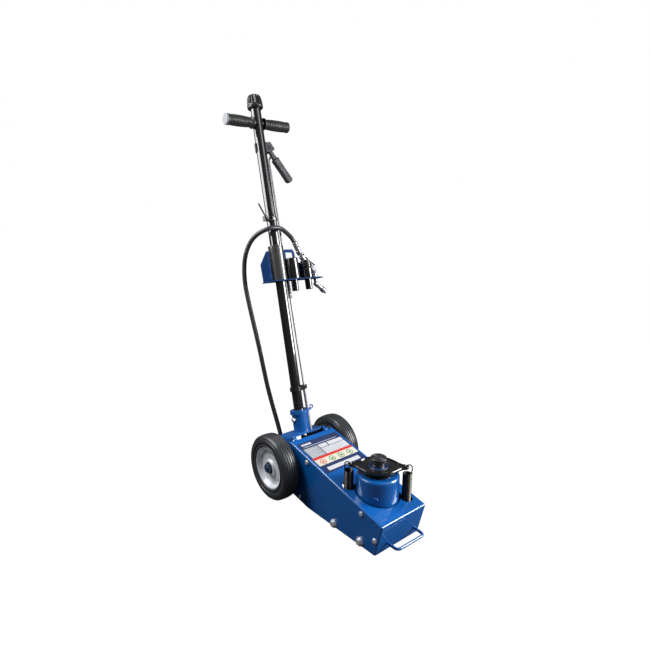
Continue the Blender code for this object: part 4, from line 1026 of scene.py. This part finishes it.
def make_lock_rod():
    heights = [0.066, 0.0665, 0.2050, 0.2085, 0.2120, 0.2125, 0.93]
    points = [lock_rod_at(height) for height in heights]
    taper = [1.5, 1.65, 1.65, 1.5, 1.2, 1, 1]
    bend = bent([lock_rod_at(0.929), (-0.0105, 0.0300, 0.940), (-0.0105, 0.0385, 0.951)], 0.004, 5)
    shape = sweep(points + bend[1:], 0.0034, 24, taper + [1] * (len(bend) - 1))
    on_handle("lifting_rod", shape, "lock_rod", finish=ROD_GREY)

    low, high, wire, turns = 0.497, 0.5525, 0.0011, 12
    coil = []
    for step in range(turns * 16 + 1):
        angle = 2 * math.pi * step / 16
        share = step / (turns * 16)
        centre = lock_rod_at(low + wire + (high - low - 2 * wire) * share)
        coil.append(centre + 0.0062 * Vector((math.cos(angle), math.sin(angle), 0)))
    on_handle("rod_return_coil", sweep(coil, wire, 8), "rod_spring")


def make_hook():
    """The hose clamp: a black band, a grey block and an open wire hook that curls round the tube."""
    band = lathe(closed_rounded(rectangle(TUBE_RADIUS + GAP, 0.744, 0.0174, 0.756), 0.0006), 64)
    handle_extra("clamp_band", band, "black_paint")
    block = slab(rectangle(0, -0.033, 0.013, -0.0165), 0.742, 0.758)
    on_handle("hose_clamp", block, "hose_hook", bevel=0.0020, segments=3, finish=CLAMP_GREY)
    spine = [(0.004, -0.042, 0.797), (0.009, -0.033, 0.770), (0.0140, -0.0270, 0.750)]
    spine += [(0.0175, -0.0185, 0.742), (0.0200, -0.0095, 0.744), (0.0205, -0.0035, 0.752)]
    handle_extra("open_hook", sweep(smooth_route(spine, 0.003), 0.0024, 12), "black_paint")


def adapter_stem(foot):
    """The lower part of both adapters, which passes through the shelf."""
    return [(0, foot), (0.0095, foot), (0.0110, foot + 0.0015), (0.0110, SHELF_S + GAP)]


def make_adapters():
    tall = [*adapter_stem(0.518), (0.0195, SHELF_S + GAP), (0.0200, SHELF_S + 0.0010), (0.0200, 0.6200)]
    tall += [(0.0185, 0.6220), (0.0120, 0.6220), (0.0112, 0.6205), (0.0112, 0.6000), (0, 0.6000)]
    short = [*adapter_stem(0.519), (0.0175, SHELF_S + GAP), (0.0180, SHELF_S + 0.0010), (0.0180, 0.5855)]
    short += [(0.0165, 0.5880), (0.0168, 0.5895), (0.0185, 0.5920), (0.0185, 0.5955), (0.0174, 0.5965)]
    short += [(0.0174, 0.5978), (0.0185, 0.5988), (0.0185, 0.6020), (0.0166, 0.6042), (0.0175, 0.6070)]
    short += [(0.0165, 0.6120), (0.0112, 0.6120), (0.0106, 0.6105), (0.0106, 0.5950), (0, 0.5950)]
    for name, profile in (("adapter_tall", tall), ("adapter_short", short)):
        spot = ON_HANDLE.inverted() @ middle_of(name)[0]
        shape = moved(lathe(rounded(profile, 0.0006, 2), 64), Matrix.Translation((spot.x, spot.y, 0)))
        on_handle(f"{name}_turned", shape, name)


def make_valve():
    """The air valve's body with its hexagon, and the inlet coupler below the shelf."""
    run = VALVE_FOOT - VALVE_TOP
    body = [(0, 0), (0.0088, 0), (0.0096, 0.0008), (0.0096, 0.0115), (0.0080, 0.0135), (0.0080, 0.0165)]
    body += [(0.0088, 0.0175), (0.0088, 0.0300), (0.0080, 0.0330), (0.0088, 0.0375), (0.0092, 0.0390)]
    body += [(0.0092, 0.0480), (0.0085, 0.0490), (0.0085, 0.0510), (0.0092, 0.0520), (0.0092, 0.0650)]
    body += [(0.0070, 0.0690), (0.0070, run.length - 0.001), (0.0062, run.length), (0, run.length)]
    hexagon = slab(circle(0, 0, 0.0100, 6), 0.0180, 0.0290)
    through_shelf = Matrix.Translation((VALVE_TOP.x, 0.150, 0))
    stub = moved(rod(0.0062, SHELF_S + GAP, 0.580, 32), through_shelf)
    shapes = [aimed(lathe(body, 48), VALVE_TOP, run), aimed(hexagon, VALVE_TOP, run), stub]
    on_handle("thumb_valve", together(*shapes), "air_valve")

    start, end = Vector((VALVE_TOP.x, 0.1460, 0.5400)), Vector((VALVE_TOP.x, 0.1870, 0.5040))
    reach = (end - start).length
    barrel = [(0, 0), (0.0080, 0), (0.0088, 0.0008), (0.0088, 0.0135), (0.0072, 0.0155), (0.0072, 0.0180)]
    barrel += [(0.0080, 0.0190), (0.0080, 0.0210), (0.0072, 0.0220), (0.0072, 0.0300), (0.0092, 0.0325)]
    barrel += [(0.0098, 0.0340), (0.0098, reach - 0.0095), (0.0060, reach - 0.0070), (0.0060, reach - 0.001)]
    barrel += [(0.0040, reach), (0, reach)]
    neck = moved(rod(0.0060, 0.536, SHELF_S - 0.0033, 32), through_shelf)
    shapes = [aimed(lathe(barrel, 48), start, end - start), neck]
    on_handle("quick_coupler", together(*shapes), "inlet_coupler")


make_yoke_details()
make_knob()
make_bar_cap()
make_grips()
make_lever_bracket()
make_lock_lever()
make_lock_rod()
make_hook()
make_adapters()
make_valve()


# The CAD nodes that stay visible

EDGE_ROUNDING = {
    "base_casting": 0.0004,
    "handle_yoke": 0.0026,
    "handle_socket": 0.0010,
    "storage_bracket": 0.0009,
    "bracket_sleeve": 0.0010,
    "handle_tube": 0.0006,
    "valve_lever": 0.0006,
    "rod_guide": 0.0010,
    "lock_sector": 0.0005,
}
OTHER_FINISHES = {
    # The axle nuts and stub ends take the darker blue, painted shade for the recessed hub.
    "axle_nut_left": SHADED_BLUE,
    "axle_nut_right": SHADED_BLUE,
    "stub_axle_left": SHADED_BLUE,
    "stub_axle_right": SHADED_BLUE,
    "lock_sector": SPRING_STEEL,
    # The storage bracket takes the darker blue, painted shade on its wings.
    "storage_bracket": SHADED_BRACKET_BLUE,
    "t_bar": MATTE_BLACK,
    "bracket_sleeve": SATIN_SLEEVE,
}


def dress_frame():
    """Gives each CAD node its slot's finish, or the one listed for it, and rounds the listed edges."""
    for name, node in frame["nodes"].items():
        node.data.materials.clear()
        node.data.materials.append(OTHER_FINISHES.get(name) or FINISHES[SLOT_OF[name]])
        if name in EDGE_ROUNDING:
            soften(node, EDGE_ROUNDING[name])


dress_frame()


# Studio


def make_floor():
    """Dark to the object, so that black enamel stays black, and white to the camera."""
    mesh = bpy.data.meshes.new("floor")
    corners = [(x, y, -0.0005) for x, y in rectangle(-30, -30, 30, 30)]
    mesh.from_pydata(corners, [], [(0, 1, 2, 3)])
    material, tree, shader = shader_graph("studio_floor")
    path = tree.nodes.new("ShaderNodeLightPath")
    glow = spread(tree, path.outputs["Is Camera Ray"], 0, FLOOR_GLOW, 0, 1)
    tree.links.new(glow, shader.inputs["Emission Strength"])
    tone = mixed(tree, spread(tree, noise(tree, 2), 0, 1), (0.05, 0.05, 0.05), (0.06, 0.06, 0.06))
    tree.links.new(tone, shader.inputs["Base Color"])
    fill(shader, {"Emission Color": (1, 1, 1, 1), "Roughness": 0.8, "Specular IOR Level": 0.1})
    mesh.materials.append(material)
    floor = bpy.data.objects.new("floor", mesh)
    bpy.context.collection.objects.link(floor)


def make_softbox(name, azimuth, elevation, distance, width, height, power, target=(-0.2, 0, 0.35)):
    """A rectangular light that faces the target from the given direction, in degrees."""
    away = direction(math.radians(azimuth), math.radians(elevation))
    light = bpy.data.lights.new(name, "AREA")
    light.shape = "RECTANGLE"
    light.size = width
    light.size_y = height
    light.energy = power
    obj = bpy.data.objects.new(name, light)
    obj.visible_camera = False
    bpy.context.collection.objects.link(obj)
    obj.location = Vector(target) + away * distance
    obj.rotation_euler = away.to_track_quat("Z", "Y").to_euler()


def make_world():
    """White to the camera, and dimmer as a source of light."""
    world = bpy.data.worlds.new("studio")
    bpy.context.scene.world = world
    world.use_nodes = True
    tree = world.node_tree
    path = tree.nodes.new("ShaderNodeLightPath")
    strength = tree.nodes.new("ShaderNodeMapRange")
    fill(strength, {"To Min": 0.08, "To Max": 1.0})
    tree.links.new(path.outputs["Is Camera Ray"], strength.inputs["Value"])
    tree.links.new(strength.outputs["Result"], tree.nodes["Background"].inputs["Strength"])
    fill(tree.nodes["Background"], {"Color": (1, 1, 1, 1)})


make_floor()
make_world()
make_softbox("key", 100, 50, 2.6, 1.2, 1.2, 12)
make_softbox("right", 135, 21, 2.4, 1.0, 1.3, 92)
make_softbox("left", -27, 0, 0.95, 0.9, 0.9, 17, target=(-0.50, 0, 1.25))
make_softbox("top_left", -42, 56, 2.4, 0.8, 0.8, 28)
bpy.context.scene.view_settings.view_transform = "Standard"
